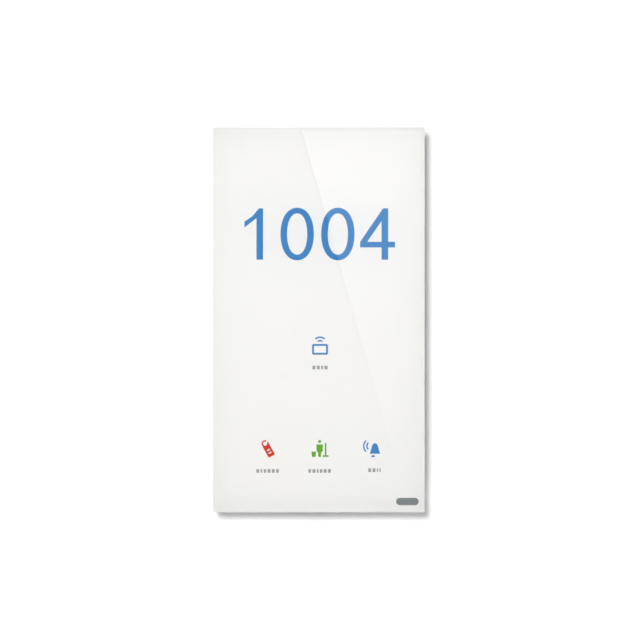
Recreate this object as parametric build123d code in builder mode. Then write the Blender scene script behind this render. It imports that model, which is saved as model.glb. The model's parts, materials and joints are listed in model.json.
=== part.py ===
from build123d import *
import math
import os

# Flush wall card reader: a glass front on a shallow tray, a bus coupler pot behind it
# and a steel mounting frame that stays on the wall box.
# The wall is the XZ plane. A level is a distance from the wall towards the room (-Y);
# a depth is a distance from the wall into the wall box (+Y).

os.makedirs("parts", exist_ok=True)

# ---------------------------------------------------------------- driving sizes
face_width = 86.0
face_height = 156.5

# cover glass
glass_thick = 3.0
glass_corner = 0.5
bevel_width = 1.4
bevel_depth = 0.6

# layers behind the glass
print_thick = 0.2
print_margin = 0.15
tape_thick = 0.5
tape_width = 4.0
foil_gap = 0.5
foil_thick = 0.3

# tray and rear cover
glass_reveal = 1.0
case_corner = 2.5
case_wall = 1.4
plate_thick = 1.5
well_depth = 1.4
rear_room = 1.2
cover_thick = 1.5
cover_gap = 0.3
wall_gap = 1.0

# mounting frame
frame_thick = 1.2
frame_gap = 0.5
frame_side_margin = 5.0
frame_bottom_margin = 7.25
frame_corner = 4.0
frame_window_width = 44.0
frame_window_web = 12.0
frame_window_rim = 10.5
frame_window_corner = 3.0
box_screw_spacing = 60.0
box_slot_length = 8.0
box_slot_radius = 2.1
plug_spacing_x = 60.0
plug_spacing_z = 110.0
plug_hole_radius = 2.2
bead_length = 24.0
bead_width = 3.6
bead_depth = 0.3
bead_taper = 45.0
bead_spread_x = 60.0
bead_spread_z = 43.0
pad_radius = 3.5
pad_thick = 0.2
pad_spread_x = 60.0
pad_spread_z = 84.0

# top hooks and their cradles
hook_spread = 52.0
hook_width = 12.0
hook_rod_radius = 1.2
hook_level = 3.0
hook_below_case_top = 5.25
hook_neck_height = 8.0
running_gap = 0.1
cradle_wall = 1.2
cradle_width = 10.0
cradle_front_lip = 50.0
cradle_rear_lip = 80.0
hook_window_gap = 0.6
hook_window_rise = 0.8
tilt_open = 25.0
wall_clear = 0.4

# lock screw under the bottom edge
screw_radius = 1.25
screw_head_radius = 2.25
screw_head_height = 1.4
screw_recess_width = 0.7
screw_recess_depth = 0.9
screw_level = 4.0
lock_travel = 2.7
lock_tip_gap = 0.5
washer_thick = 0.5
washer_overhang = 0.05
seat_gap = 0.05
counterbore_gap = 0.25
lock_boss_width = 9.0
lock_boss_height = 5.75
lock_bore_length = 1.7
tab_width = 12.0
tab_rim = 1.05
nut_width = 5.0
nut_height = 1.6
lock_notch_gap = 0.8
lock_notch_top = 2.0

# coupler pot in the wall box
pot_width = 40.0
pot_corner = 6.0
pot_wall = 1.5
pot_depth = 20.0
pot_gap = 0.2
pot_flange = 2.5
pot_flange_thick = 1.0
opening_side_gap = 2.5
opening_drop = 7.0
opening_corner = 5.0
coupler_board_depth = 6.0
coupler_board_thick = 1.6
coupler_board_gap = 0.8
post_radius = 2.2
post_inset = 3.0

# push-on wire terminals
pole_width = 6.0
pole_height = 11.0
pole_length = 10.0
pocket_depth = 6.0
pocket_gap = 0.3
pocket_wall = 1.0
terminal_offset = 9.5
terminal_z = -7.0
pin_radius = 0.5
pin_tip = 0.4
contact_wall = 0.3
contact_length = 6.0
wire_hole_radius = 0.7
wire_hole_depth = 5.0
wire_spread = 2.6

# programming button and light
button_radius = 2.0
button_x = -2.0
button_z = 12.0
button_proud = 0.8
button_travel = 0.5
light_radius = 1.5
light_x = 4.6
switch_width = 4.5
switch_height = 3.5

# boards
board_thick = 1.0
board_gap = 1.6
board_below_hooks = 6.0
board_above_case_bottom = 17.25
boss_radius = 3.0
boss_inset = 2.6
boss_above_case_bottom = 10.25
boss_below_case_top = 18.25
boss_clear = 0.5
pilot_radius = 1.0
pilot_depth = 3.6
tap_gap = 0.05
cover_screw_head = 2.0
cover_screw_head_height = 1.0
board_boss_radius = 2.4
board_screw_x = 33.0
board_screw_above_edge = 3.0
board_screw_below_edge = 14.0
board_screw_head = 1.8
board_screw_head_height = 0.9
board_screw_length = 3.0

# symbols seen through the glass
symbol_pitch = 21.2
symbol_row_x = 0.3
symbol_row_above_edge = 25.95
card_x = 0.45
card_z = -12.0
number_x = -0.57
number_below_edge = 53.75
digit_height = 20.9
digit_pitch = 16.57
digit_stroke = 2.7
digit_bar = 2.3
zero_width = 13.6
zero_overshoot = 0.25
well_wall = 1.2
well_corner = 0.8
number_well_width = 65.3
number_well_margin = 1.75
symbol_well = 9.2
card_well_rise = 1.3

# tracks and lights on the front of the main board
copper_thick = 0.1
pad_gap = 0.6
pad_band = 2.2
coil_margin = 3.0
coil_side_margin = 8.0
coil_track = 0.9
coil_step = 1.8
coil_turns = 5
diode_width = 1.6
diode_height = 2.0
diode_thick = 0.8
diode_pitch_x = 10.6
diode_pitch_z = 11.0

# parts on the coupler board, and the plug and socket that join the two boards
link_width = 14.0
link_height = 5.0
link_z = 11.0
link_base = 2.5
link_wall = 1.0
link_gap = 0.3
link_pin_length = 4.0
sounder_radius = 5.0
sounder_height = 4.2
sounder_x = 9.0
sounder_z = -7.0
bulk_capacitor_radius = 4.0
bulk_capacitor_length = 9.5
bulk_capacitor_spot = (-11.0, 8.6)
small_capacitor_radius = 3.15
small_capacitor_length = 6.0
small_capacitor_spot = (-9.0, -8.0)
choke_spot = (12.0, 7.8)
choke_rim_radius = 4.2
choke_core_radius = 3.2
choke_rim_thick = 1.2
choke_core_length = 5.0
pin_base_width = 5.0
pin_base_height = 2.5
plunger_radius = 1.1
plunger_length = 1.0
plunger_gap = 0.15
collar_rim = 0.8
collar_thick = 0.9
collar_gap = 0.3
light_leg_length = 5.0
light_proud = 0.8
label_width = 36.0
label_height = 15.0
label_thick = 0.1
vent_width = 1.4
vent_height = 10.0
vent_pitch = 3.4
vent_count = 7
cross_width = 0.5
cross_depth = 0.5

# ---------------------------------------------------------------- levels, worked out
cover_rear = frame_thick + frame_gap
cover_front = cover_rear + cover_thick
board_rear = cover_front + rear_room
board_front = board_rear + board_thick
plate_rear = board_front + well_depth
plate_front = plate_rear + plate_thick
tape_front = plate_front + tape_thick
print_front = tape_front + print_thick
glass_front = print_front + glass_thick

case_width = face_width - 2 * glass_reveal
case_height = face_height - 2 * glass_reveal
inner_width = case_width - 2 * case_wall
inner_height = case_height - 2 * case_wall
case_top = case_height / 2
case_bottom = -case_height / 2

hook_z = case_top - hook_below_case_top
frame_width = face_width - 2 * frame_side_margin
frame_top = hook_z - hook_neck_height
frame_bottom = case_bottom + frame_bottom_margin

washer_radius = screw_head_radius + washer_overhang
counterbore_radius = screw_head_radius + counterbore_gap
tab_hole_radius = screw_radius + running_gap
tab_level = screw_level + tab_hole_radius + tab_rim
tab_top = frame_bottom + frame_thick
screw_tip = frame_bottom - lock_tip_gap
lock_floor = case_bottom + lock_boss_height - lock_bore_length
washer_top = lock_floor - seat_gap - lock_travel
head_top = washer_top - washer_thick - seat_gap

opening_width = pot_width + 2 * opening_side_gap
opening_top = pot_width / 2 + opening_side_gap
opening_bottom = -pot_width / 2 - opening_drop
upper_window = (opening_top + frame_window_web, frame_top - frame_window_rim)
lower_window = (frame_bottom + frame_window_rim, opening_bottom - frame_window_web)

pot_inner = pot_width - 2 * pot_wall
pot_floor = pot_depth - pot_wall
coupler_rear = coupler_board_depth + coupler_board_thick
pocket_floor = pot_depth - pocket_depth
pocket_width = 2 * pole_width + 2 * pocket_gap
pocket_height = pole_height + 2 * pocket_gap
pole_front = pocket_floor + pocket_gap
contact_radius = pin_radius + running_gap
post_spread = pot_inner - 2 * post_inset

boss_x = inner_width / 2 - boss_inset
boss_heights = (case_bottom + boss_above_case_bottom, 0.0, case_top - boss_below_case_top)
boss_spots = [(side * boss_x, z) for side in (-1, 1) for z in boss_heights]
board_width = inner_width - 2 * board_gap
board_top = hook_z - board_below_hooks
board_bottom = case_bottom + board_above_case_bottom
board_screw_heights = (board_bottom + board_screw_above_edge, board_top - board_screw_below_edge)
board_spots = [(side * board_screw_x, z) for side in (-1, 1) for z in board_screw_heights]
terminals = {"bus": -terminal_offset, "aux": terminal_offset}

# light wells: centre x, centre z, inside width, inside height
symbol_row_z = -face_height / 2 + symbol_row_above_edge
row_x = [symbol_row_x + step * symbol_pitch for step in (-1, 0, 1)]
number_base = face_height / 2 - number_below_edge
number_middle = number_base + digit_height / 2
wells = [(number_x, number_middle, number_well_width, digit_height + 2 * number_well_margin)]
wells += [(card_x, card_z + card_well_rise, symbol_well, symbol_well)]
wells += [(x, symbol_row_z, symbol_well, symbol_well) for x in row_x]


# ---------------------------------------------------------------- symbol outlines
def outline(points, mode=Mode.ADD):
    """A filled outline with straight sides, added to the open sketch."""
    with BuildLine() as edge:
        Polyline(*points, close=True)
    make_face(edge.edges(), mode=mode)


def oval(x, z, width, height, fullness, mode=Mode.ADD):
    """A filled oval that is a little squarer than an ellipse."""
    with BuildLine() as edge:
        for side_x, side_z in ((1, 1), (1, -1), (-1, -1), (-1, 1)):
            across, up = side_x * width / 2, side_z * height / 2
            Bezier((x, z + up), (x + fullness * across, z + up),
                   (x + across, z + fullness * up), (x + across, z))
    make_face(edge.edges(), mode=mode)


def band(x, z, radius, stroke, middle, half_angle):
    """A piece of a ring about (x, z), from middle - half_angle to middle + half_angle degrees."""
    with BuildLine() as arc:
        CenterArc((x, z), radius, middle - half_angle, 2 * half_angle)
    trace(arc.edges(), line_width=stroke)


def digit_one(x):
    right = x + digit_stroke
    flag = x - 4.9
    outline([
        (x, number_base), (right, number_base), (right, number_base + digit_height),
        (x + 1.0, number_base + digit_height), (x - 1.8, number_base + digit_height - 3.3),
        (flag, number_base + digit_height - 5.4), (flag, number_base + digit_height - 7.8),
        (x, number_base + digit_height - 4.0),
    ])


def digit_zero(x):
    middle = number_base + digit_height / 2
    height = digit_height + 2 * zero_overshoot
    oval(x, middle, zero_width, height, 0.6)
    oval(x, middle, zero_width - 2 * digit_stroke, height - 2 * digit_bar, 0.6, Mode.SUBTRACT)


def digit_four(x):
    left, right, stem = x - 7.5, x + 6.7, x + 3.9
    bar = number_base + 5.0
    top = number_base + digit_height
    outline([
        (stem - digit_stroke, number_base), (stem, number_base), (stem, bar), (right, bar),
        (right, bar + digit_bar), (stem, bar + digit_bar), (stem, top), (stem - 2.1, top),
        (left, bar + digit_bar), (left, bar), (stem - digit_stroke, bar),
    ])
    inner = stem - digit_stroke
    outline([(inner, bar + digit_bar), (inner, top - 5.2), (left + 2.9, bar + digit_bar)], Mode.SUBTRACT)


def number_shape():
    cells = [number_x + (i - 1.5) * digit_pitch for i in range(4)]
    digit_one(cells[0])
    digit_zero(cells[1])
    digit_zero(cells[2])
    digit_four(cells[3])


def card_shape():
    stroke = 0.8
    with Locations((card_x, card_z)):
        RectangleRounded(6.5, 4.4, 0.7)
        RectangleRounded(6.5 - 2 * stroke, 4.4 - 2 * stroke, 0.15, mode=Mode.SUBTRACT)
    for radius in (1.35, 2.75):
        band(card_x, card_z + 2.2, radius, 0.65, 90, 45)


def privacy_shape():
    """A door hanger with an open hook at its top, leaning to the left."""
    width, length, lean = 2.9, 7.2, 29.0
    turn = Location((row_x[0], symbol_row_z, 0), (0, 0, lean))
    with Locations(turn):
        RectangleRounded(width, length, 0.35)
        with Locations((0, length / 2 - width / 2)):
            Rectangle(width, width, mode=Mode.SUBTRACT)
            Circle(width / 2)
        with Locations((0, length / 2 - width)):
            Rectangle(width, width)
        with Locations((0, length / 2 - width / 2)):
            Circle(0.85, mode=Mode.SUBTRACT)
        with Locations((width / 2 - 0.35, length / 2 - 1.0)):
            Rectangle(1.0, 0.55, rotation=30, mode=Mode.SUBTRACT)
        for drop in (0.75, 2.05):
            with Locations((0, -drop)):
                SlotOverall(1.3, 0.6, mode=Mode.SUBTRACT)


def service_shape():
    """A standing figure with a bucket on one side and a mop on the other."""
    x, foot = row_x[1], symbol_row_z - 3.5
    with Locations((x, foot + 6.3)):
        Circle(0.62)
    outline([
        (x - 0.6, foot), (x + 0.55, foot), (x + 0.6, foot + 1.7), (x + 1.3, foot + 2.5),
        (x + 1.3, foot + 5.1), (x - 1.3, foot + 5.1), (x - 1.3, foot + 2.5), (x - 0.6, foot + 1.7),
    ])
    outline([(x - 3.1, foot), (x - 1.7, foot), (x - 1.45, foot + 2.2), (x - 3.35, foot + 2.2)])
    with Locations((x + 2.4, foot + 3.0)):
        Rectangle(0.65, 5.4)
    with Locations((x + 2.4, foot + 0.35)):
        Rectangle(2.4, 0.7)


def bell_shape():
    """A bell with a clapper, ringing to its left."""
    x, rim = row_x[2] + 1.3, symbol_row_z - 2.2
    with BuildLine() as edge:
        Line((x - 2.2, rim), (x + 2.2, rim))
        Bezier((x + 2.2, rim), (x + 1.3, rim + 1.6), (x + 1.5, rim + 4.3), (x, rim + 4.3))
        Bezier((x, rim + 4.3), (x - 1.5, rim + 4.3), (x - 1.3, rim + 1.6), (x - 2.2, rim))
    make_face(edge.edges())
    with Locations((x - 0.75, rim - 1.0)):
        Ellipse(0.8, 0.42)
    for radius in (1.9, 3.2):
        band(x - 1.35, rim + 3.1, radius, 0.6, 180, 46)


def label_shape():
    """Plain grey blocks in rows under the symbols, like words seen from too far to read."""
    rows = [(card_x, card_z - 7.4, (1.2, 1.2, 0.8, 1.3))]
    rows += [(row_x[0], symbol_row_z - 9.2, (1.2, 0.7, 1.0, 1.2, 1.2, 1.1))]
    rows += [(row_x[1], symbol_row_z - 9.2, (1.1, 1.2, 0.7, 1.0, 1.2, 1.2))]
    rows += [(row_x[2] + 1.1, symbol_row_z - 8.9, (1.2, 1.2, 0.5, 0.5))]
    space, height = 0.55, 1.5
    for x, z, widths in rows:
        left = x - (sum(widths) + space * (len(widths) - 1)) / 2
        for width in widths:
            with Locations((left + width / 2, z)):
                RectangleRounded(width, height, 0.2)
            left += width + space


def corner_shape():
    """A plain pill near the lower right corner."""
    with Locations((face_width / 2 - 7.0, -face_height / 2 + 4.3)):
        SlotOverall(9.2, 3.0)


# ---------------------------------------------------------------- glass and print
with BuildPart() as cover_glass:
    with BuildSketch(Plane.XZ.offset(print_front)):
        RectangleRounded(face_width, face_height, glass_corner)
    extrude(amount=glass_thick - bevel_depth)
    with BuildSketch(Plane.XZ.offset(glass_front - bevel_depth)):
        RectangleRounded(face_width, face_height, glass_corner)
    with BuildSketch(Plane.XZ.offset(glass_front)):
        RectangleRounded(face_width - 2 * bevel_width, face_height - 2 * bevel_width, glass_corner)
    loft()
cover_glass.part.label = "cover_glass"
export_step(cover_glass.part, "parts/cover_glass.step")

symbols = {
    "number_inlay": number_shape,
    "card_inlay": card_shape,
    "privacy_inlay": privacy_shape,
    "service_inlay": service_shape,
    "bell_inlay": bell_shape,
    "label_marks": label_shape,
    "corner_mark": corner_shape,
}
inlays = {}
for name, shape in symbols.items():
    with BuildPart() as inlay:
        with BuildSketch(Plane.XZ.offset(tape_front)):
            shape()
        extrude(amount=print_thick)
    inlay.part.label = name
    export_step(inlay.part, f"parts/{name}.step")
    inlays[name] = inlay.part

with BuildPart() as back_print:
    with BuildSketch(Plane.XZ.offset(tape_front)):
        RectangleRounded(face_width - 2 * print_margin, face_height - 2 * print_margin, glass_corner)
    extrude(amount=print_thick)
    for inlay_part in inlays.values():
        add(inlay_part, mode=Mode.SUBTRACT)
back_print.part.label = "back_print"
export_step(back_print.part, "parts/back_print.step")

with BuildPart() as glass_tape:
    with BuildSketch(Plane.XZ.offset(plate_front)):
        RectangleRounded(case_width, case_height, case_corner)
        RectangleRounded(case_width - 2 * tape_width, case_height - 2 * tape_width, case_corner,
                         mode=Mode.SUBTRACT)
    extrude(amount=tape_thick)
glass_tape.part.label = "glass_tape"
export_step(glass_tape.part, "parts/glass_tape.step")

with BuildPart() as diffuser_foil:
    with BuildSketch(Plane.XZ.offset(plate_front)):
        foil_inset = 2 * (tape_width + foil_gap)
        RectangleRounded(case_width - foil_inset, case_height - foil_inset, case_corner)
    extrude(amount=foil_thick)
diffuser_foil.part.label = "diffuser_foil"
export_step(diffuser_foil.part, "parts/diffuser_foil.step")

# ---------------------------------------------------------------- front housing
open_sin, open_cos = math.sin(math.radians(tilt_open)), math.cos(math.radians(tilt_open))
relief_reach = hook_level - wall_clear
relief_level = hook_level - (relief_reach - hook_below_case_top * open_sin) / open_cos
relief_z = hook_z + (relief_reach - (hook_level - wall_gap) * open_cos) / open_sin

with BuildPart() as front_housing:
    with BuildSketch(Plane.XZ.offset(wall_gap)):
        RectangleRounded(case_width, case_height, case_corner)
    extrude(amount=plate_front - wall_gap)
    with BuildSketch(Plane.XZ.offset(wall_gap)):
        RectangleRounded(inner_width, inner_height, case_corner - case_wall)
    extrude(amount=plate_rear - wall_gap, mode=Mode.SUBTRACT)
    with BuildSketch(Plane.XZ.offset(cover_front)):
        with Locations(*boss_spots):
            Circle(boss_radius)
    extrude(amount=plate_rear - cover_front)
    with BuildSketch(Plane.XZ.offset(board_front)):
        with Locations(*board_spots):
            Circle(board_boss_radius)
    extrude(amount=plate_rear - board_front)
    # boss for the lock screw, standing on the bottom wall
    with BuildSketch(Plane.XZ.offset(wall_gap)):
        with Locations((0, case_bottom + lock_boss_height / 2)):
            Rectangle(lock_boss_width, lock_boss_height)
    extrude(amount=plate_rear - wall_gap)
    with BuildSketch(Plane.XZ.offset(cover_front)):
        with Locations(*boss_spots):
            Circle(pilot_radius + tap_gap)
    extrude(amount=pilot_depth + tap_gap, mode=Mode.SUBTRACT)
    with BuildSketch(Plane.XZ.offset(board_front)):
        with Locations(*board_spots):
            Circle(pilot_radius + tap_gap)
    extrude(amount=board_screw_length - board_thick + tap_gap, mode=Mode.SUBTRACT)
    with BuildSketch(Plane.XZ.offset(plate_rear)):
        for x, z, width, height in wells:
            with Locations((x, z)):
                RectangleRounded(width, height, well_corner)
    extrude(amount=plate_thick, mode=Mode.SUBTRACT)
    with BuildSketch(Plane.XY.offset(case_bottom)):
        with Locations((0, -screw_level)):
            Circle(counterbore_radius)
    extrude(amount=lock_floor - case_bottom, mode=Mode.SUBTRACT)
    with BuildSketch(Plane.XY.offset(lock_floor)):
        with Locations((0, -screw_level)):
            Circle(screw_radius + tap_gap)
    extrude(amount=lock_bore_length, mode=Mode.SUBTRACT)
    # slope along the top rear edge, which clears the wall as the reader tilts
    with BuildSketch(Plane.YZ.offset(-face_width / 2)):
        outline([(0, relief_z), (-wall_gap, relief_z), (-relief_level, case_top),
                 (-relief_level, face_height / 2), (0, face_height / 2)])
    extrude(amount=face_width, mode=Mode.SUBTRACT)
front_housing.part.label = "front_housing"
export_step(front_housing.part, "parts/front_housing.step")

with BuildPart() as light_baffle:
    # shallow ribs that tie the wells together, then the wells themselves
    with BuildSketch(Plane.XZ.offset(plate_rear - well_depth / 2)):
        low, high = symbol_row_z, wells[0][1]
        with Locations((symbol_row_x, (low + high) / 2)):
            Rectangle(2 * well_wall, high - low)
        with Locations((symbol_row_x, low)):
            Rectangle(2 * symbol_pitch, 2 * well_wall)
    extrude(amount=well_depth / 2)
    with BuildSketch(Plane.XZ.offset(board_front)):
        for x, z, width, height in wells:
            with Locations((x, z)):
                RectangleRounded(width + 2 * well_wall, height + 2 * well_wall, well_corner + well_wall)
    extrude(amount=well_depth)
    with BuildSketch(Plane.XZ.offset(board_front)):
        for x, z, width, height in wells:
            with Locations((x, z)):
                RectangleRounded(width, height, well_corner)
    extrude(amount=well_depth, mode=Mode.SUBTRACT)
light_baffle.part.label = "light_baffle"
export_step(light_baffle.part, "parts/light_baffle.step")

# ---------------------------------------------------------------- main board
with BuildPart() as main_board:
    with BuildSketch(Plane.XZ.offset(board_rear)):
        with Locations((0, (board_top + board_bottom) / 2)):
            RectangleRounded(board_width, board_top - board_bottom, 1.5)
        with Locations(*boss_spots):
            Circle(boss_radius + boss_clear, mode=Mode.SUBTRACT)
        with Locations(*board_spots):
            Circle(pilot_radius + tap_gap, mode=Mode.SUBTRACT)
    extrude(amount=board_thick)
main_board.part.label = "main_board"
export_step(main_board.part, "parts/main_board.step")

# touch pads round the lower wells, and the aerial between them and the number
coil_top = wells[0][1] - wells[0][3] / 2 - well_wall - coil_margin
coil_low = symbol_row_z + wells[2][3] / 2 + well_wall + pad_gap + pad_band + coil_margin
coil_z = (coil_top + coil_low) / 2
with BuildPart() as antenna_coil:
    with BuildSketch(Plane.XZ.offset(board_front)):
        with BuildLine() as spiral:
            corners = []
            for turn in range(coil_turns):
                half_w = board_width / 2 - coil_side_margin - turn * coil_step
                half_h = (coil_top - coil_low) / 2 - turn * coil_step
                left = -half_w - coil_step if turn else -half_w
                corners += [(left, coil_z - half_h), (half_w, coil_z - half_h), (half_w, coil_z + half_h),
                            (-half_w, coil_z + half_h)]
            Polyline(*corners)
        trace(spiral.edges(), line_width=coil_track)
    extrude(amount=copper_thick)
antenna_coil.part.label = "antenna_coil"
export_step(antenna_coil.part, "parts/antenna_coil.step")

with BuildPart() as touch_pads:
    with BuildSketch(Plane.XZ.offset(board_front)):
        for x, z, width, height in wells[2:]:
            inner_w, inner_h = width + 2 * (well_wall + pad_gap), height + 2 * (well_wall + pad_gap)
            with Locations((x, z)):
                RectangleRounded(inner_w + 2 * pad_band, inner_h + 2 * pad_band, 2.5)
                RectangleRounded(inner_w, inner_h, 2.0, mode=Mode.SUBTRACT)
    extrude(amount=copper_thick)
touch_pads.part.label = "touch_pads"
export_step(touch_pads.part, "parts/touch_pads.step")

with BuildPart() as light_diodes:
    with BuildSketch(Plane.XZ.offset(board_front)):
        with Locations((number_x, number_middle)):
            with GridLocations(diode_pitch_x, diode_pitch_z, 6, 2):
                Rectangle(diode_width, diode_height)
        for x, z, width, height in wells[1:]:
            with Locations((x, z)):
                Rectangle(diode_width, diode_height)
    extrude(amount=diode_thick)
light_diodes.part.label = "light_diodes"
export_step(light_diodes.part, "parts/light_diodes.step")

# chips on the rear of the main board: x, z, width, height, thickness
chips = {
    "controller_chip": (-16.0, 44.0, 10.0, 10.0, 1.0),
    "reader_chip": (14.0, -40.0, 6.0, 6.0, 0.8),
    "touch_chip": (-14.0, -44.0, 4.0, 4.0, 0.8),
    "crystal": (-3.0, 44.0, 3.2, 2.5, 0.7),
}
for name, (x, z, width, height, thick) in chips.items():
    with BuildPart() as chip:
        with BuildSketch(Plane.XZ.offset(board_rear)):
            with Locations((x, z)):
                Rectangle(width, height)
        extrude(amount=-thick)
        chamfer(chip.faces().sort_by(Axis.Y)[-1].edges(), length=0.15)
    chip.part.label = name
    export_step(chip.part, f"parts/{name}.step")

with BuildPart() as board_passives:
    with BuildSketch(Plane.XZ.offset(board_rear)):
        for x, z in ((-16.0, 34.0), (16.0, 46.0), (16.0, 54.0), (14.0, -50.0), (-14.0, -52.0)):
            with Locations((x, z)):
                with GridLocations(3.0, 2.4, 5, 2):
                    Rectangle(1.6, 0.8)
    extrude(amount=-0.6)
board_passives.part.label = "board_passives"
export_step(board_passives.part, "parts/board_passives.step")

with BuildPart() as board_screws:
    with BuildSketch(Plane.XZ.offset(board_rear)):
        with Locations(*board_spots):
            Circle(pilot_radius)
    extrude(amount=board_screw_length)
    with BuildSketch(Plane.XZ.offset(board_rear - board_screw_head_height)):
        with Locations(*board_spots):
            Circle(board_screw_head)
    extrude(amount=board_screw_head_height)
    with BuildSketch(Plane.XZ.offset(board_rear - board_screw_head_height)):
        with Locations(*board_spots):
            Rectangle(2 * board_screw_head - 1.4, cross_width)
            Rectangle(cross_width, 2 * board_screw_head - 1.4)
    extrude(amount=cross_depth, mode=Mode.SUBTRACT)
board_screws.part.label = "board_screws"
export_step(board_screws.part, "parts/board_screws.step")

# ---------------------------------------------------------------- rear cover
hook_xs = (-hook_spread / 2, hook_spread / 2)
cradle_bore = hook_rod_radius + running_gap
cradle_outer = cradle_bore + cradle_wall
hook_window_low = hook_z - hook_neck_height - frame_thick - hook_window_gap
hook_window_high = hook_z + hook_window_rise
notch_low = case_bottom + case_wall + cover_gap
notch_high = tab_top + nut_height + lock_notch_top

with BuildPart() as rear_cover:
    with BuildSketch(Plane.XZ.offset(cover_rear)):
        RectangleRounded(inner_width - 2 * cover_gap, inner_height - 2 * cover_gap, case_corner - case_wall)
        RectangleRounded(pot_width + 2 * pot_gap, pot_width + 2 * pot_gap, pot_corner, mode=Mode.SUBTRACT)
        with Locations((0, (notch_low + notch_high) / 2)):
            Rectangle(tab_width + 2 * lock_notch_gap, notch_high - notch_low, mode=Mode.SUBTRACT)
        for x in hook_xs:
            with Locations((x, (hook_window_low + hook_window_high) / 2)):
                Rectangle(hook_width + 2 * hook_window_gap, hook_window_high - hook_window_low,
                          mode=Mode.SUBTRACT)
        with Locations(*boss_spots):
            Circle(pilot_radius + tap_gap, mode=Mode.SUBTRACT)
        with Locations((0, sum(upper_window) / 2)):
            with GridLocations(vent_pitch, 1, vent_count, 1):
                SlotOverall(vent_height, vent_width, rotation=90, mode=Mode.SUBTRACT)
    extrude(amount=cover_thick)
    with BuildSketch(Plane.XZ.offset(cover_rear)):
        with Locations(*boss_spots):
            Circle(cover_screw_head + tap_gap)
    extrude(amount=cover_screw_head_height + tap_gap, mode=Mode.SUBTRACT)
    # a C-shaped cradle hangs on each hook rod and is open below, where the hook's neck stands
    for x in hook_xs:
        with BuildSketch(Plane.YZ.offset(x - cradle_width / 2)):
            with Locations((-hook_level, hook_z)):
                Circle(cradle_outer)
        extrude(amount=cradle_width)
    for x in hook_xs:
        with BuildSketch(Plane.YZ.offset(x - hook_width / 2)):
            with Locations((-hook_level, hook_z)):
                Circle(cradle_bore)
            reach = 3 * cradle_outer
            front, rear = math.radians(cradle_front_lip), math.radians(cradle_rear_lip)
            outline([
                (-hook_level, hook_z),
                (-hook_level - reach * math.sin(front), hook_z - reach * math.cos(front)),
                (-hook_level + reach * math.sin(rear), hook_z - reach * math.cos(rear)),
            ])
        extrude(amount=hook_width, mode=Mode.SUBTRACT)
rear_cover.part.label = "rear_cover"
export_step(rear_cover.part, "parts/rear_cover.step")

with BuildPart() as cover_screws:
    with BuildSketch(Plane.XZ.offset(cover_rear)):
        with Locations(*boss_spots):
            Circle(cover_screw_head)
    extrude(amount=cover_screw_head_height)
    with BuildSketch(Plane.XZ.offset(cover_rear)):
        with Locations(*boss_spots):
            Circle(pilot_radius)
    extrude(amount=cover_thick + pilot_depth)
    with BuildSketch(Plane.XZ.offset(cover_rear)):
        with Locations(*boss_spots):
            Rectangle(2 * cover_screw_head - 1.6, cross_width)
            Rectangle(cross_width, 2 * cover_screw_head - 1.6)
    extrude(amount=cross_depth, mode=Mode.SUBTRACT)
cover_screws.part.label = "cover_screws"
export_step(cover_screws.part, "parts/cover_screws.step")

with BuildPart() as rating_label:
    with BuildSketch(Plane.XZ.offset(cover_rear)):
        with Locations((0, sum(lower_window) / 2)):
            RectangleRounded(label_width, label_height, 1.0)
    extrude(amount=-label_thick)
rating_label.part.label = "rating_label"
export_step(rating_label.part, "parts/rating_label.step")

# ---------------------------------------------------------------- coupler pot
with BuildPart() as coupler_case:
    with BuildSketch(Plane.XZ.offset(cover_front)):
        RectangleRounded(pot_width + 2 * pot_flange, pot_width + 2 * pot_flange, pot_corner + pot_flange)
    extrude(amount=pot_flange_thick)
    with BuildSketch(Plane.XZ.offset(-pot_depth)):
        RectangleRounded(pot_width, pot_width, pot_corner)
    extrude(amount=pot_depth + cover_front)
    fillet(coupler_case.faces().sort_by(Axis.Y)[-1].edges(), radius=1.2)
    with BuildSketch(Plane.XZ.offset(-pot_floor)):
        RectangleRounded(pot_inner, pot_inner, pot_corner - pot_wall)
    extrude(amount=pot_floor + cover_front + pot_flange_thick, mode=Mode.SUBTRACT)
    with BuildSketch(Plane.XZ.offset(-coupler_rear)):
        with GridLocations(post_spread, post_spread, 2, 2):
            Circle(post_radius)
    extrude(amount=-(pot_floor - coupler_rear))
    with BuildSketch(Plane.XZ.offset(-pocket_floor + pocket_wall)):
        for x in terminals.values():
            with Locations((x, terminal_z)):
                Rectangle(pocket_width + 2 * pocket_wall, pocket_height + 2 * pocket_wall)
    extrude(amount=-(pot_floor - pocket_floor + pocket_wall))
    with BuildSketch(Plane.XZ.offset(-pocket_floor)):
        for x in terminals.values():
            with Locations((x, terminal_z)):
                Rectangle(pocket_width, pocket_height)
    extrude(amount=-pocket_depth, mode=Mode.SUBTRACT)
    with BuildSketch(Plane.XZ.offset(-pocket_floor + pocket_wall)):
        for x in terminals.values():
            with Locations((x, terminal_z)):
                with GridLocations(pole_width, 1, 2, 1):
                    Circle(pin_radius + tap_gap)
    extrude(amount=-pocket_wall, mode=Mode.SUBTRACT)
    with BuildSketch(Plane.XZ.offset(-pot_floor)):
        with Locations((button_x, button_z)):
            Circle(button_radius + running_gap)
        with Locations((light_x, button_z)):
            Circle(light_radius + running_gap)
    extrude(amount=-pot_wall, mode=Mode.SUBTRACT)
    with BuildSketch(Plane.XZ.offset(-coupler_rear)):
        with GridLocations(post_spread, post_spread, 2, 2):
            Circle(pilot_radius + tap_gap)
    extrude(amount=-(pilot_depth + tap_gap), mode=Mode.SUBTRACT)
coupler_case.part.label = "coupler_case"
export_step(coupler_case.part, "parts/coupler_case.step")

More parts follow.
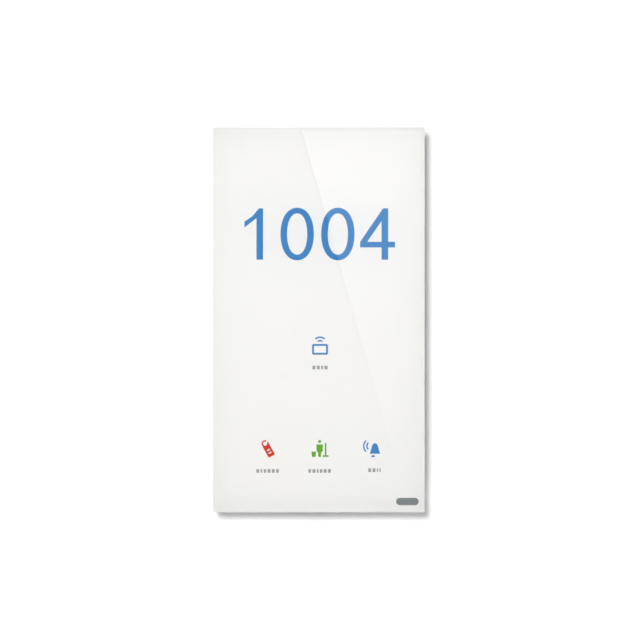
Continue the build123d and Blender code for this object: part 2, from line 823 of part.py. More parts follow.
with BuildPart() as coupler_board:
    with BuildSketch(Plane.XZ.offset(-coupler_board_depth)):
        side = pot_inner - 2 * coupler_board_gap
        RectangleRounded(side, side, pot_corner - pot_wall - coupler_board_gap)
        with GridLocations(post_spread, post_spread, 2, 2):
            Circle(pilot_radius + tap_gap, mode=Mode.SUBTRACT)
    extrude(amount=-coupler_board_thick)
coupler_board.part.label = "coupler_board"
export_step(coupler_board.part, "parts/coupler_board.step")

with BuildPart() as coupler_screws:
    with BuildSketch(Plane.XZ.offset(-coupler_board_depth)):
        with GridLocations(post_spread, post_spread, 2, 2):
            Circle(pilot_radius)
    extrude(amount=-(coupler_board_thick + pilot_depth))
    with BuildSketch(Plane.XZ.offset(-coupler_board_depth)):
        with GridLocations(post_spread, post_spread, 2, 2):
            Circle(board_screw_head)
    extrude(amount=board_screw_head_height)
coupler_screws.part.label = "coupler_screws"
export_step(coupler_screws.part, "parts/coupler_screws.step")

with BuildPart() as link_plug:
    with BuildSketch(Plane.XZ.offset(-coupler_board_depth)):
        with Locations((0, link_z)):
            Rectangle(link_width, link_height)
    extrude(amount=link_base)
    with BuildSketch(Plane.XZ.offset(-coupler_board_depth + link_base)):
        with Locations((0, link_z)):
            with GridLocations(2.0, 1.27, 6, 2):
                Rectangle(0.5, 0.5)
    extrude(amount=link_pin_length)
link_plug.part.label = "link_plug"
export_step(link_plug.part, "parts/link_plug.step")

with BuildPart() as link_socket:
    with BuildSketch(Plane.XZ.offset(-coupler_board_depth + link_base + link_gap)):
        with Locations((0, link_z)):
            Rectangle(link_width, link_height)
            Rectangle(link_width - 2 * link_wall, link_height - 2 * link_wall, mode=Mode.SUBTRACT)
    extrude(amount=board_rear + coupler_board_depth - link_base - link_gap)
    with BuildSketch(Plane.XZ.offset(board_rear - 2.0)):
        with Locations((0, link_z)):
            Rectangle(link_width, link_height)
    extrude(amount=2.0)
link_socket.part.label = "link_socket"
export_step(link_socket.part, "parts/link_socket.step")

with BuildPart() as sounder:
    with BuildSketch(Plane.XZ.offset(-coupler_board_depth)):
        with Locations((sounder_x, sounder_z)):
            Circle(sounder_radius)
    extrude(amount=sounder_height)
    fillet(sounder.faces().sort_by(Axis.Y)[0].edges(), radius=0.4)
    with BuildSketch(Plane.XZ.offset(-coupler_board_depth + sounder_height)):
        with Locations((sounder_x, sounder_z)):
            Circle(0.9)
    extrude(amount=-1.2, mode=Mode.SUBTRACT)
sounder.part.label = "sounder"
export_step(sounder.part, "parts/sounder.step")

with BuildPart() as bus_capacitors:
    with BuildSketch(Plane.XZ.offset(-coupler_rear)):
        with Locations(bulk_capacitor_spot):
            Circle(bulk_capacitor_radius)
    extrude(amount=-bulk_capacitor_length)
    with BuildSketch(Plane.XZ.offset(-coupler_board_depth)):
        with Locations(small_capacitor_spot):
            Circle(small_capacitor_radius)
    extrude(amount=small_capacitor_length)
bus_capacitors.part.label = "bus_capacitors"
export_step(bus_capacitors.part, "parts/bus_capacitors.step")

with BuildPart() as bus_choke:
    with BuildSketch(Plane.XZ.offset(-coupler_rear)):
        with Locations(choke_spot):
            Circle(choke_rim_radius)
    extrude(amount=-choke_rim_thick)
    with BuildSketch(Plane.XZ.offset(-coupler_rear - choke_rim_thick)):
        with Locations(choke_spot):
            Circle(choke_core_radius)
    extrude(amount=-choke_core_length)
    with BuildSketch(Plane.XZ.offset(-coupler_rear - choke_rim_thick - choke_core_length)):
        with Locations(choke_spot):
            Circle(choke_rim_radius)
    extrude(amount=-choke_rim_thick)
bus_choke.part.label = "bus_choke"
export_step(bus_choke.part, "parts/bus_choke.step")

with BuildPart() as pin_bases:
    with BuildSketch(Plane.XZ.offset(-coupler_rear)):
        for x in terminals.values():
            with Locations((x, terminal_z)):
                Rectangle(2 * pole_width, pin_base_width)
                with GridLocations(pole_width, 1, 2, 1):
                    Circle(pin_radius + tap_gap, mode=Mode.SUBTRACT)
    extrude(amount=-pin_base_height)
pin_bases.part.label = "pin_bases"
export_step(pin_bases.part, "parts/pin_bases.step")

for name, x in terminals.items():
    with BuildPart() as pins:
        with BuildSketch(Plane.XZ.offset(-coupler_rear)):
            with Locations((x, terminal_z)):
                with GridLocations(pole_width, 1, 2, 1):
                    Circle(pin_radius)
        extrude(amount=-(pot_depth - pin_tip - coupler_rear))
        chamfer(pins.faces().group_by(Axis.Y)[-1].edges(), length=0.2)
    pins.part.label = f"{name}_pins"
    export_step(pins.part, f"parts/{name}_pins.step")

with BuildPart() as program_switch:
    with BuildSketch(Plane.XZ.offset(-coupler_rear)):
        with Locations((button_x, button_z)):
            Rectangle(switch_width, switch_width)
    extrude(amount=-switch_height)
    with BuildSketch(Plane.XZ.offset(-coupler_rear - switch_height)):
        with Locations((button_x, button_z)):
            Circle(plunger_radius)
    extrude(amount=-plunger_length)
program_switch.part.label = "program_switch"
export_step(program_switch.part, "parts/program_switch.step")

light_foot = coupler_rear + light_leg_length
with BuildPart() as program_light:
    with BuildSketch(Plane.XZ.offset(-coupler_rear)):
        with Locations((light_x, button_z)):
            with GridLocations(1.4, 1, 2, 1):
                Rectangle(0.4, 0.4)
    extrude(amount=-(light_foot - coupler_rear))
    with BuildSketch(Plane.XZ.offset(-light_foot)):
        with Locations((light_x, button_z)):
            Circle(light_radius)
    extrude(amount=-(pot_depth + light_proud - light_foot))
    fillet(program_light.faces().sort_by(Axis.Y)[-1].edges(), radius=light_radius - 0.2)
program_light.part.label = "program_light"
export_step(program_light.part, "parts/program_light.step")

button_inner = coupler_rear + switch_height + plunger_length + button_travel + plunger_gap
button_collar = pot_floor - collar_gap
with BuildPart() as program_button:
    with BuildSketch(Plane.XZ.offset(-button_collar)):
        with Locations((button_x, button_z)):
            Circle(button_radius)
    extrude(amount=-(pot_depth + button_proud - button_collar))
    fillet(program_button.faces().sort_by(Axis.Y)[-1].edges(), radius=0.4)
    with BuildSketch(Plane.XZ.offset(-button_collar)):
        with Locations((button_x, button_z)):
            Circle(button_radius + collar_rim)
    extrude(amount=collar_thick)
    with BuildSketch(Plane.XZ.offset(-button_inner)):
        with Locations((button_x, button_z)):
            Circle(plunger_radius + 0.1)
    extrude(amount=-(button_collar - button_inner))
program_button.part.label = "program_button"
export_step(program_button.part, "parts/program_button.step")

# ---------------------------------------------------------------- wire terminals
poles = {
    "bus_terminal_red": terminals["bus"] - pole_width / 2,
    "bus_terminal_black": terminals["bus"] + pole_width / 2,
    "aux_terminal_yellow": terminals["aux"] - pole_width / 2,
    "aux_terminal_white": terminals["aux"] + pole_width / 2,
}
pole_rear = pole_front + pole_length
for name, x in poles.items():
    with BuildPart() as pole:
        with BuildSketch(Plane.XZ.offset(-pole_front)):
            with Locations((x, terminal_z)):
                Rectangle(pole_width, pole_height)
        extrude(amount=-pole_length)
        chamfer(pole.faces().sort_by(Axis.Y)[-1].edges().filter_by(Axis.X), length=0.6)
        with BuildSketch(Plane.XZ.offset(-pole_front)):
            with Locations((x, terminal_z)):
                Circle(contact_radius + contact_wall)
        extrude(amount=-contact_length, mode=Mode.SUBTRACT)
        # four push-in wire holes with a funnel mouth, and a probe slot between them
        with BuildSketch(Plane.XZ.offset(-pole_rear)):
            with Locations((x, terminal_z)):
                with GridLocations(1, wire_spread, 1, 4):
                    Circle(wire_hole_radius)
        extrude(amount=wire_hole_depth, mode=Mode.SUBTRACT)
        with BuildSketch(Plane.XZ.offset(-pole_rear)):
            with Locations((x, terminal_z)):
                with GridLocations(1, wire_spread, 1, 4):
                    Circle(wire_hole_radius + 0.4)
        extrude(amount=0.6, taper=30, mode=Mode.SUBTRACT)
        # finger grooves across the top and the bottom
        with BuildSketch(Plane.XZ.offset(-pole_rear + 2.0)):
            for side in (-1, 1):
                with Locations((x, terminal_z + side * pole_height / 2)):
                    Rectangle(pole_width, 0.5)
        extrude(amount=0.7, mode=Mode.SUBTRACT)
    pole.part.label = name
    export_step(pole.part, f"parts/{name}.step")

for name, x in terminals.items():
    with BuildPart() as contacts:
        with BuildSketch(Plane.XZ.offset(-pole_front)):
            with Locations((x, terminal_z)):
                with GridLocations(pole_width, 1, 2, 1):
                    Circle(contact_radius + contact_wall)
                    Circle(contact_radius, mode=Mode.SUBTRACT)
        extrude(amount=-contact_length)
    contacts.part.label = f"{name}_contacts"
    export_step(contacts.part, f"parts/{name}_contacts.step")

# ---------------------------------------------------------------- lock screw
with BuildPart() as lock_washer:
    with BuildSketch(Plane.XY.offset(washer_top)):
        with Locations((0, -screw_level)):
            Circle(washer_radius)
            Circle(screw_radius + running_gap, mode=Mode.SUBTRACT)
    extrude(amount=-washer_thick)
lock_washer.part.label = "lock_washer"
export_step(lock_washer.part, "parts/lock_washer.step")

with BuildPart() as lock_screw:
    with BuildSketch(Plane.XY.offset(head_top)):
        with Locations((0, -screw_level)):
            Circle(screw_radius)
    extrude(amount=screw_tip - head_top)
    chamfer(lock_screw.faces().sort_by(Axis.Z)[-1].edges(), length=0.35)
    with BuildSketch(Plane.XY.offset(head_top)):
        with Locations((0, -screw_level)):
            Circle(screw_head_radius)
    extrude(amount=-screw_head_height)
    with BuildSketch(Plane.XY.offset(head_top - screw_head_height)):
        with Locations((0, -screw_level)):
            Rectangle(2 * screw_head_radius - 1.2, screw_recess_width)
            Rectangle(screw_recess_width, 2 * screw_head_radius - 1.2)
    extrude(amount=screw_recess_depth, mode=Mode.SUBTRACT)
lock_screw.part.label = "lock_screw"
export_step(lock_screw.part, "parts/lock_screw.step")

# ---------------------------------------------------------------- mounting frame
with BuildPart() as mounting_frame:
    with BuildSketch(Plane.XZ):
        with Locations((0, (frame_top + frame_bottom) / 2)):
            RectangleRounded(frame_width, frame_top - frame_bottom, frame_corner)
        with Locations((0, (opening_top + opening_bottom) / 2)):
            RectangleRounded(opening_width, opening_top - opening_bottom, opening_corner,
                             mode=Mode.SUBTRACT)
        for low, high in (lower_window, upper_window):
            with Locations((0, (low + high) / 2)):
                RectangleRounded(frame_window_width, high - low, frame_window_corner, mode=Mode.SUBTRACT)
        with GridLocations(box_screw_spacing, 1, 2, 1):
            SlotOverall(box_slot_length, 2 * box_slot_radius, mode=Mode.SUBTRACT)
        with GridLocations(plug_spacing_x, plug_spacing_z, 2, 2):
            Circle(plug_hole_radius, mode=Mode.SUBTRACT)
    extrude(amount=frame_thick)
    # stamped beads beside the opening: hollow at the rear, raised at the front
    with BuildSketch(Plane.XZ.offset(frame_thick)):
        with GridLocations(bead_spread_x, bead_spread_z, 2, 2):
            SlotOverall(bead_length, bead_width, rotation=90)
    extrude(amount=bead_depth, taper=bead_taper)
    with BuildSketch(Plane.XZ):
        with GridLocations(bead_spread_x, bead_spread_z, 2, 2):
            SlotOverall(bead_length, bead_width, rotation=90)
    extrude(amount=bead_depth, taper=bead_taper, mode=Mode.SUBTRACT)
    # two hooks at the top: a foot, an upright neck and a round rod along its upper edge
    neck_low = hook_z - hook_neck_height - frame_thick
    with BuildSketch(Plane.XZ):
        for x in hook_xs:
            with Locations((x, neck_low + frame_thick / 2)):
                Rectangle(hook_width, frame_thick)
    extrude(amount=hook_level + frame_thick / 2)
    with BuildSketch(Plane.XZ.offset(hook_level - frame_thick / 2)):
        for x in hook_xs:
            with Locations((x, (neck_low + hook_z) / 2)):
                Rectangle(hook_width, hook_z - neck_low)
    extrude(amount=frame_thick)
    for x in hook_xs:
        with BuildSketch(Plane.YZ.offset(x - hook_width / 2)):
            with Locations((-hook_level, hook_z)):
                Circle(hook_rod_radius)
        extrude(amount=hook_width)
    # tab at the bottom, bent forward under the nut
    with BuildSketch(Plane.XZ):
        with Locations((0, frame_bottom + frame_thick / 2)):
            Rectangle(tab_width, frame_thick)
    extrude(amount=tab_level)
    with BuildSketch(Plane.XY.offset(frame_bottom)):
        with Locations((0, -screw_level)):
            Circle(tab_hole_radius)
    extrude(amount=frame_thick, mode=Mode.SUBTRACT)
mounting_frame.part.label = "mounting_frame"
export_step(mounting_frame.part, "parts/mounting_frame.step")

with BuildPart() as lock_nut:
    with BuildSketch(Plane.XY.offset(tab_top)):
        with Locations((0, -screw_level)):
            RegularPolygon(nut_width / 2, 6, major_radius=False)
            Circle(tab_hole_radius, mode=Mode.SUBTRACT)
    extrude(amount=nut_height)
lock_nut.part.label = "lock_nut"
export_step(lock_nut.part, "parts/lock_nut.step")

with BuildPart() as damper_pads:
    with BuildSketch(Plane.XZ.offset(frame_thick)):
        with GridLocations(pad_spread_x, pad_spread_z, 2, 2):
            Circle(pad_radius)
    extrude(amount=pad_thick)
damper_pads.part.label = "damper_pads"
export_step(damper_pads.part, "parts/damper_pads.step")
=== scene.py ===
import json
import math
import bpy
import bmesh
from mathutils import Matrix, Vector


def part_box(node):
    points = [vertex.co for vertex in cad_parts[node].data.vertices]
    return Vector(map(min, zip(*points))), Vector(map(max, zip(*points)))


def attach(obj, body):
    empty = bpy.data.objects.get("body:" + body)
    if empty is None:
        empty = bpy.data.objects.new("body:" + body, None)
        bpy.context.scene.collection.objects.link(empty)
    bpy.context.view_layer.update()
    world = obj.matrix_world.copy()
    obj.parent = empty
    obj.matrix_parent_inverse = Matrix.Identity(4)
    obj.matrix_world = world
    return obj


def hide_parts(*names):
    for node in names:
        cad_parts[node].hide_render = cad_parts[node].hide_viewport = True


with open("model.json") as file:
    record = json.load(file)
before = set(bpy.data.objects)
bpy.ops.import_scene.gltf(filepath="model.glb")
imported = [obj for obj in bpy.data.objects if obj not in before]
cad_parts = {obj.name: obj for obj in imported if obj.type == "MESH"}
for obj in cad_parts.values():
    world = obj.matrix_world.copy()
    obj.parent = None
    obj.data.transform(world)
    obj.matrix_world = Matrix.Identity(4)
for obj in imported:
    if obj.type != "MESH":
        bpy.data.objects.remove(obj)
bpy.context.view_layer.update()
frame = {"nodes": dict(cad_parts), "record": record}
nodes = frame["nodes"]
bodyOf = {name: body for body, names in frame["record"]["behaviour"]["bodies"].items() for name in names}
slotOf = {part["node"]: part["material_slot"] for part in frame["record"]["subparts"]}
print("frame loaded,", len(nodes), "nodes")

mm = 0.001
# new pieces are drawn flat in millimetres: x across, y up, z towards the room
standOnWall = Matrix.Rotation(math.radians(90), 4, "X") @ Matrix.Scale(mm, 4)


def wallSpan(name):
    # a node's box in the flat drawing's own millimetres
    low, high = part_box(name)
    return (Vector((low.x, low.z, -high.y)) / mm, Vector((high.x, high.z, -low.y)) / mm)


# shader groups

def newGroup(name, inputs, outputs):
    group = bpy.data.node_groups.new(name, "ShaderNodeTree")
    for socketName, kind, value in inputs:
        socket = group.interface.new_socket(socketName, in_out="INPUT", socket_type=kind)
        if value is not None:
            socket.default_value = value
    for socketName, kind in outputs:
        group.interface.new_socket(socketName, in_out="OUTPUT", socket_type=kind)
    start = group.nodes.new("NodeGroupInput")
    end = group.nodes.new("NodeGroupOutput")
    return group, start, end


def addNode(tree, kind, **settings):
    node = tree.nodes.new(kind)
    for key, value in settings.items():
        setattr(node, key, value)
    return node


def addMath(tree, operation, first, second):
    node = addNode(tree, "ShaderNodeMath", operation=operation)
    for socket, value in zip(node.inputs, (first, second)):
        if isinstance(value, (int, float)):
            socket.default_value = value
        else:
            tree.links.new(value, socket)
    return node.outputs[0]


def addNoise(tree, vector, scale, detail=3.0, roughness=0.55):
    node = addNode(tree, "ShaderNodeTexNoise")
    node.inputs["Detail"].default_value = detail
    node.inputs["Roughness"].default_value = roughness
    tree.links.new(vector, node.inputs["Vector"])
    if isinstance(scale, (int, float)):
        node.inputs["Scale"].default_value = scale
    else:
        tree.links.new(scale, node.inputs["Scale"])
    return node.outputs[0]


def spread(tree, value, low, high, newLow, newHigh):
    node = addNode(tree, "ShaderNodeMapRange")
    tree.links.new(value, node.inputs["Value"])
    for key, setting in (("From Min", low), ("From Max", high), ("To Min", newLow), ("To Max", newHigh)):
        if isinstance(setting, (int, float)):
            node.inputs[key].default_value = setting
        else:
            tree.links.new(setting, node.inputs[key])
    return node.outputs[0]


def mixColors(tree, factor, first, second):
    node = addNode(tree, "ShaderNodeMix", data_type="RGBA")
    tree.links.new(factor, node.inputs[0])
    for socket, value in ((node.inputs[6], first), (node.inputs[7], second)):
        if isinstance(value, (tuple, list)):
            socket.default_value = (*value[:3], 1)
        else:
            tree.links.new(value, socket)
    return node.outputs[2]


def makeToneGroup():
    # two tones of one colour drift over the surface, and the roughness drifts with them
    group, start, end = newGroup("toneDrift", [
        ("Vector", "NodeSocketVector", None), ("Color", "NodeSocketColor", (0.8, 0.8, 0.8, 1)),
        ("Second Color", "NodeSocketColor", (0.7, 0.7, 0.7, 1)), ("Scale", "NodeSocketFloat", 60.0),
        ("Roughness", "NodeSocketFloat", 0.4), ("Roughness Drift", "NodeSocketFloat", 0.08)],
        [("Color", "NodeSocketColor"), ("Roughness", "NodeSocketFloat")])
    broad = addNoise(group, start.outputs["Vector"], start.outputs["Scale"], 4.0)
    mask = spread(group, broad, 0.3, 0.7, 0.0, 1.0)
    color = mixColors(group, mask, start.outputs["Color"], start.outputs["Second Color"])
    fineScale = addMath(group, "MULTIPLY", start.outputs["Scale"], 9.0)
    fine = addNoise(group, start.outputs["Vector"], fineScale, 2.0)
    fromMiddle = addMath(group, "MULTIPLY", addMath(group, "SUBTRACT", fine, 0.5), 2.0)
    shift = addMath(group, "MULTIPLY", fromMiddle, start.outputs["Roughness Drift"])
    roughness = addMath(group, "ADD", start.outputs["Roughness"], shift)
    group.links.new(color, end.inputs["Color"])
    group.links.new(roughness, end.inputs["Roughness"])
    return group


def makeGrainGroup():
    # spark-eroded moulding texture: small rounded pits of two sizes
    group, start, end = newGroup("mouldGrain", [
        ("Vector", "NodeSocketVector", None), ("Scale", "NodeSocketFloat", 3000.0),
        ("Coarse", "NodeSocketFloat", 0.5)],
        [("Height", "NodeSocketFloat")])
    fine = addNoise(group, start.outputs["Vector"], start.outputs["Scale"], 2.0, 0.6)
    pits = addNode(group, "ShaderNodeTexVoronoi", feature="SMOOTH_F1")
    group.links.new(start.outputs["Vector"], pits.inputs["Vector"])
    group.links.new(addMath(group, "MULTIPLY", start.outputs["Scale"], 0.55), pits.inputs["Scale"])
    pitHeight = addMath(group, "MULTIPLY", pits.outputs["Distance"], start.outputs["Coarse"])
    group.links.new(addMath(group, "ADD", fine, pitHeight), end.inputs["Height"])
    return group


def makeRolledGroup():
    # rolled sheet: long faint streaks, all in the rolling direction
    group, start, end = newGroup("rolledStreaks", [
        ("Vector", "NodeSocketVector", None), ("Scale", "NodeSocketFloat", 400.0)],
        [("Streaks", "NodeSocketFloat"), ("Height", "NodeSocketFloat")])
    stretch = addNode(group, "ShaderNodeMapping")
    stretch.inputs["Scale"].default_value = (1.0, 1.0, 0.03)
    group.links.new(start.outputs["Vector"], stretch.inputs["Vector"])
    streaks = addNoise(group, stretch.outputs[0], start.outputs["Scale"], 5.0, 0.7)
    fineScale = addMath(group, "MULTIPLY", start.outputs["Scale"], 6.0)
    fine = addNoise(group, stretch.outputs[0], fineScale, 2.0)
    height = addMath(group, "ADD", addMath(group, "MULTIPLY", streaks, 0.4), fine)
    group.links.new(streaks, end.inputs["Streaks"])
    group.links.new(height, end.inputs["Height"])
    return group


def makeSpangleGroup():
    # zinc crystals: flat patches that differ a little in tone
    group, start, end = newGroup("zincSpangle", [
        ("Vector", "NodeSocketVector", None), ("Scale", "NodeSocketFloat", 260.0)],
        [("Tone", "NodeSocketFloat"), ("Edge", "NodeSocketFloat")])
    warp = addNoise(group, start.outputs["Vector"], 500.0, 2.0)
    shifted = addNode(group, "ShaderNodeVectorMath", operation="SCALE")
    group.links.new(start.outputs["Vector"], shifted.inputs[0])
    group.links.new(spread(group, warp, 0.0, 1.0, 0.985, 1.015), shifted.inputs["Scale"])
    cells = addNode(group, "ShaderNodeTexVoronoi", feature="F1")
    group.links.new(shifted.outputs[0], cells.inputs["Vector"])
    group.links.new(start.outputs["Scale"], cells.inputs["Scale"])
    tone = addNode(group, "ShaderNodeSeparateColor")
    group.links.new(cells.outputs["Color"], tone.inputs[0])
    rims = addNode(group, "ShaderNodeTexVoronoi", feature="DISTANCE_TO_EDGE")
    group.links.new(shifted.outputs[0], rims.inputs["Vector"])
    group.links.new(start.outputs["Scale"], rims.inputs["Scale"])
    group.links.new(tone.outputs[0], end.inputs["Tone"])
    group.links.new(spread(group, rims.outputs["Distance"], 0.0, 0.06, 1.0, 0.0), end.inputs["Edge"])
    return group


toneGroup = makeToneGroup()
grainGroup = makeGrainGroup()
rolledGroup = makeRolledGroup()
spangleGroup = makeSpangleGroup()
print("shader groups made")


# materials

def useGroup(tree, group, vector, **values):
    node = addNode(tree, "ShaderNodeGroup")
    node.node_tree = group
    tree.links.new(vector, node.inputs["Vector"])
    for key, value in values.items():
        socket = node.inputs[key.replace("_", " ")]
        socket.default_value = (*value, 1) if isinstance(value, tuple) else value
    return node


def newMaterial(name, **sockets):
    material = bpy.data.materials.new(name)
    material.use_nodes = True
    tree = material.node_tree
    shader = tree.nodes["Principled BSDF"]
    for key, value in sockets.items():
        shader.inputs[key.replace("_", " ")].default_value = value
    place = addNode(tree, "ShaderNodeTexCoord").outputs["Object"]
    return material, tree, shader, place


def darker(color, factor):
    return tuple(channel * factor for channel in color)


def addTones(tree, shader, place, color, second, scale, roughness, drift):
    # the drifting tones and roughness that nearly every finish starts from
    tone = useGroup(tree, toneGroup, place, Color=color, Second_Color=second, Scale=scale,
                    Roughness=roughness, Roughness_Drift=drift)
    tree.links.new(tone.outputs["Color"], shader.inputs["Base Color"])
    tree.links.new(tone.outputs["Roughness"], shader.inputs["Roughness"])
    return tone


def addBump(tree, shader, height, strength, distance):
    bump = addNode(tree, "ShaderNodeBump")
    bump.inputs["Strength"].default_value = strength
    bump.inputs["Distance"].default_value = distance * mm
    tree.links.new(height, bump.inputs["Height"])
    tree.links.new(bump.outputs[0], shader.inputs["Normal"])


def addGrain(tree, shader, place, scale, coarse, strength, depth):
    pits = useGroup(tree, grainGroup, place, Scale=scale, Coarse=coarse)
    addBump(tree, shader, pits.outputs["Height"], strength, depth)


def clearWhere(tree, shader, factor, color=(1, 1, 1)):
    # the shader turns into plain see-through where the factor is 1
    clear = addNode(tree, "ShaderNodeBsdfTransparent")
    clear.inputs[0].default_value = (*color, 1)
    pick = addNode(tree, "ShaderNodeMixShader")
    tree.links.new(factor, pick.inputs[0])
    tree.links.new(shader.outputs[0], pick.inputs[1])
    tree.links.new(clear.outputs[0], pick.inputs[2])
    tree.links.new(pick.outputs[0], tree.nodes["Material Output"].inputs[0])


def plasticFinish(name, color, roughness=0.42, grain=3200.0, depth=0.012, drift=0.94):
    material, tree, shader, place = newMaterial(name)
    addTones(tree, shader, place, color, darker(color, drift), scale=55.0, roughness=roughness, drift=0.10)
    addGrain(tree, shader, place, scale=grain, coarse=0.6, strength=0.5, depth=depth)
    return material


def sheetSteelFinish(name, color, roughness, spangle):
    material, tree, shader, place = newMaterial(name, Metallic=1.0)
    crystals = useGroup(tree, spangleGroup, place, Scale=spangle)
    streaks = useGroup(tree, rolledGroup, place, Scale=420.0)
    tone = mixColors(tree, crystals.outputs["Tone"], color, darker(color, 0.84))
    rims = spread(tree, crystals.outputs["Edge"], 0.0, 1.0, 0.0, 0.25)
    tone = mixColors(tree, rims, tone, darker(color, 1.12))
    tree.links.new(tone, shader.inputs["Base Color"])
    grey = spread(tree, crystals.outputs["Tone"], 0.0, 1.0, roughness - 0.06, roughness + 0.08)
    line = spread(tree, streaks.outputs["Streaks"], 0.35, 0.65, -0.05, 0.05)
    tree.links.new(addMath(tree, "ADD", grey, line), shader.inputs["Roughness"])
    addBump(tree, shader, streaks.outputs["Height"], strength=0.25, distance=0.006)
    return material


def turnedMetalFinish(name, color, roughness):
    material, tree, shader, place = newMaterial(name, Metallic=1.0)
    addTones(tree, shader, place, color, darker(color, 0.8), scale=260.0, roughness=roughness, drift=0.14)
    addGrain(tree, shader, place, scale=2600.0, coarse=0.2, strength=0.12, depth=0.004)
    return material


def filmFinish(name, color, roughness=0.3, specular=0.1):
    # screen-printed ink: an even film with a fine mottle where the ink lies thinner
    material, tree, shader, place = newMaterial(name, Specular_IOR_Level=specular)
    tone = addTones(tree, shader, place, color, darker(color, 0.985), scale=18.0, roughness=roughness,
                    drift=0.06)
    thin = spread(tree, addNoise(tree, place, 2400.0, 2.0), 0.45, 0.75, 0.0, 0.06)
    mottled = mixColors(tree, thin, tone.outputs["Color"], darker(color, 0.85))
    tree.links.new(mottled, shader.inputs["Base Color"])
    return material


def glassFinish(name, color, roughness, mottle, drift):
    # light reaches the print straight through the glass, the eye sees it bent and mirrored
    material, tree, shader, place = newMaterial(name, IOR=1.5, Transmission_Weight=1.0)
    haze = addNoise(tree, place, mottle, 5.0)
    tree.links.new(spread(tree, haze, 0.3, 0.7, roughness, roughness + drift), shader.inputs["Roughness"])
    tint = mixColors(tree, spread(tree, haze, 0.3, 0.7, 0.0, 1.0), color, darker(color, 0.995))
    tree.links.new(tint, shader.inputs["Base Color"])
    ray = addNode(tree, "ShaderNodeLightPath")
    clearWhere(tree, shader, ray.outputs["Is Shadow Ray"], darker(color, 0.985))
    return material


boardSizes = {"tracks": 110.0, "trackWidth": 0.035, "vias": 170.0, "viaRadius": 0.11,
              "viaColor": (0.62, 0.6, 0.52)}


def boardFinish(name, mask, track):
    # solder mask over copper: tracks show as paler lines, with drilled vias between them
    material, tree, shader, place = newMaterial(name, Coat_Weight=0.3, Coat_Roughness=0.2)
    turned = addNode(tree, "ShaderNodeMapping")
    turned.inputs["Rotation"].default_value = (math.radians(90), 0, 0)
    tree.links.new(place, turned.inputs["Vector"])
    lines = addNode(tree, "ShaderNodeTexBrick", offset=0.37, squash=0.6)
    lines.inputs["Scale"].default_value = boardSizes["tracks"]
    lines.inputs["Mortar Size"].default_value = boardSizes["trackWidth"]
    lines.inputs["Mortar Smooth"].default_value = 0.1
    tree.links.new(turned.outputs[0], lines.inputs["Vector"])
    vias = addNode(tree, "ShaderNodeTexVoronoi", feature="F1")
    vias.inputs["Scale"].default_value = boardSizes["vias"]
    vias.inputs["Randomness"].default_value = 0.7
    tree.links.new(turned.outputs[0], vias.inputs["Vector"])
    rim = boardSizes["viaRadius"]
    holes = spread(tree, vias.outputs["Distance"], rim - 0.01, rim + 0.01, 1.0, 0.0)
    drift = addNoise(tree, place, 60.0, 3.0)
    base = mixColors(tree, drift, mask, darker(mask, 0.7))
    tracked = mixColors(tree, lines.outputs["Fac"], base, track)
    tree.links.new(mixColors(tree, holes, tracked, boardSizes["viaColor"]), shader.inputs["Base Color"])
    tree.links.new(spread(tree, drift, 0.3, 0.7, 0.32, 0.42), shader.inputs["Roughness"])
    addBump(tree, shader, lines.outputs["Fac"], strength=0.3, distance=0.03)
    return material


def chipFinish(name, color):
    material, tree, shader, place = newMaterial(name)
    addTones(tree, shader, place, color, darker(color, 1.6), scale=900.0, roughness=0.55, drift=0.12)
    addGrain(tree, shader, place, scale=9000.0, coarse=0.5, strength=0.4, depth=0.004)
    return material


def lensFinish(name, color):
    # dyed clear resin of a small light
    material, tree, shader, place = newMaterial(name, IOR=1.52, Transmission_Weight=0.35, Coat_Weight=0.5)
    addTones(tree, shader, place, color, darker(color, 0.7), scale=700.0, roughness=0.14, drift=0.05)
    return material


def rubberFinish(name, color):
    material, tree, shader, place = newMaterial(name)
    addTones(tree, shader, place, color, darker(color, 1.5), scale=380.0, roughness=0.72, drift=0.12)
    addGrain(tree, shader, place, scale=2400.0, coarse=1.0, strength=0.5, depth=0.02)
    return material


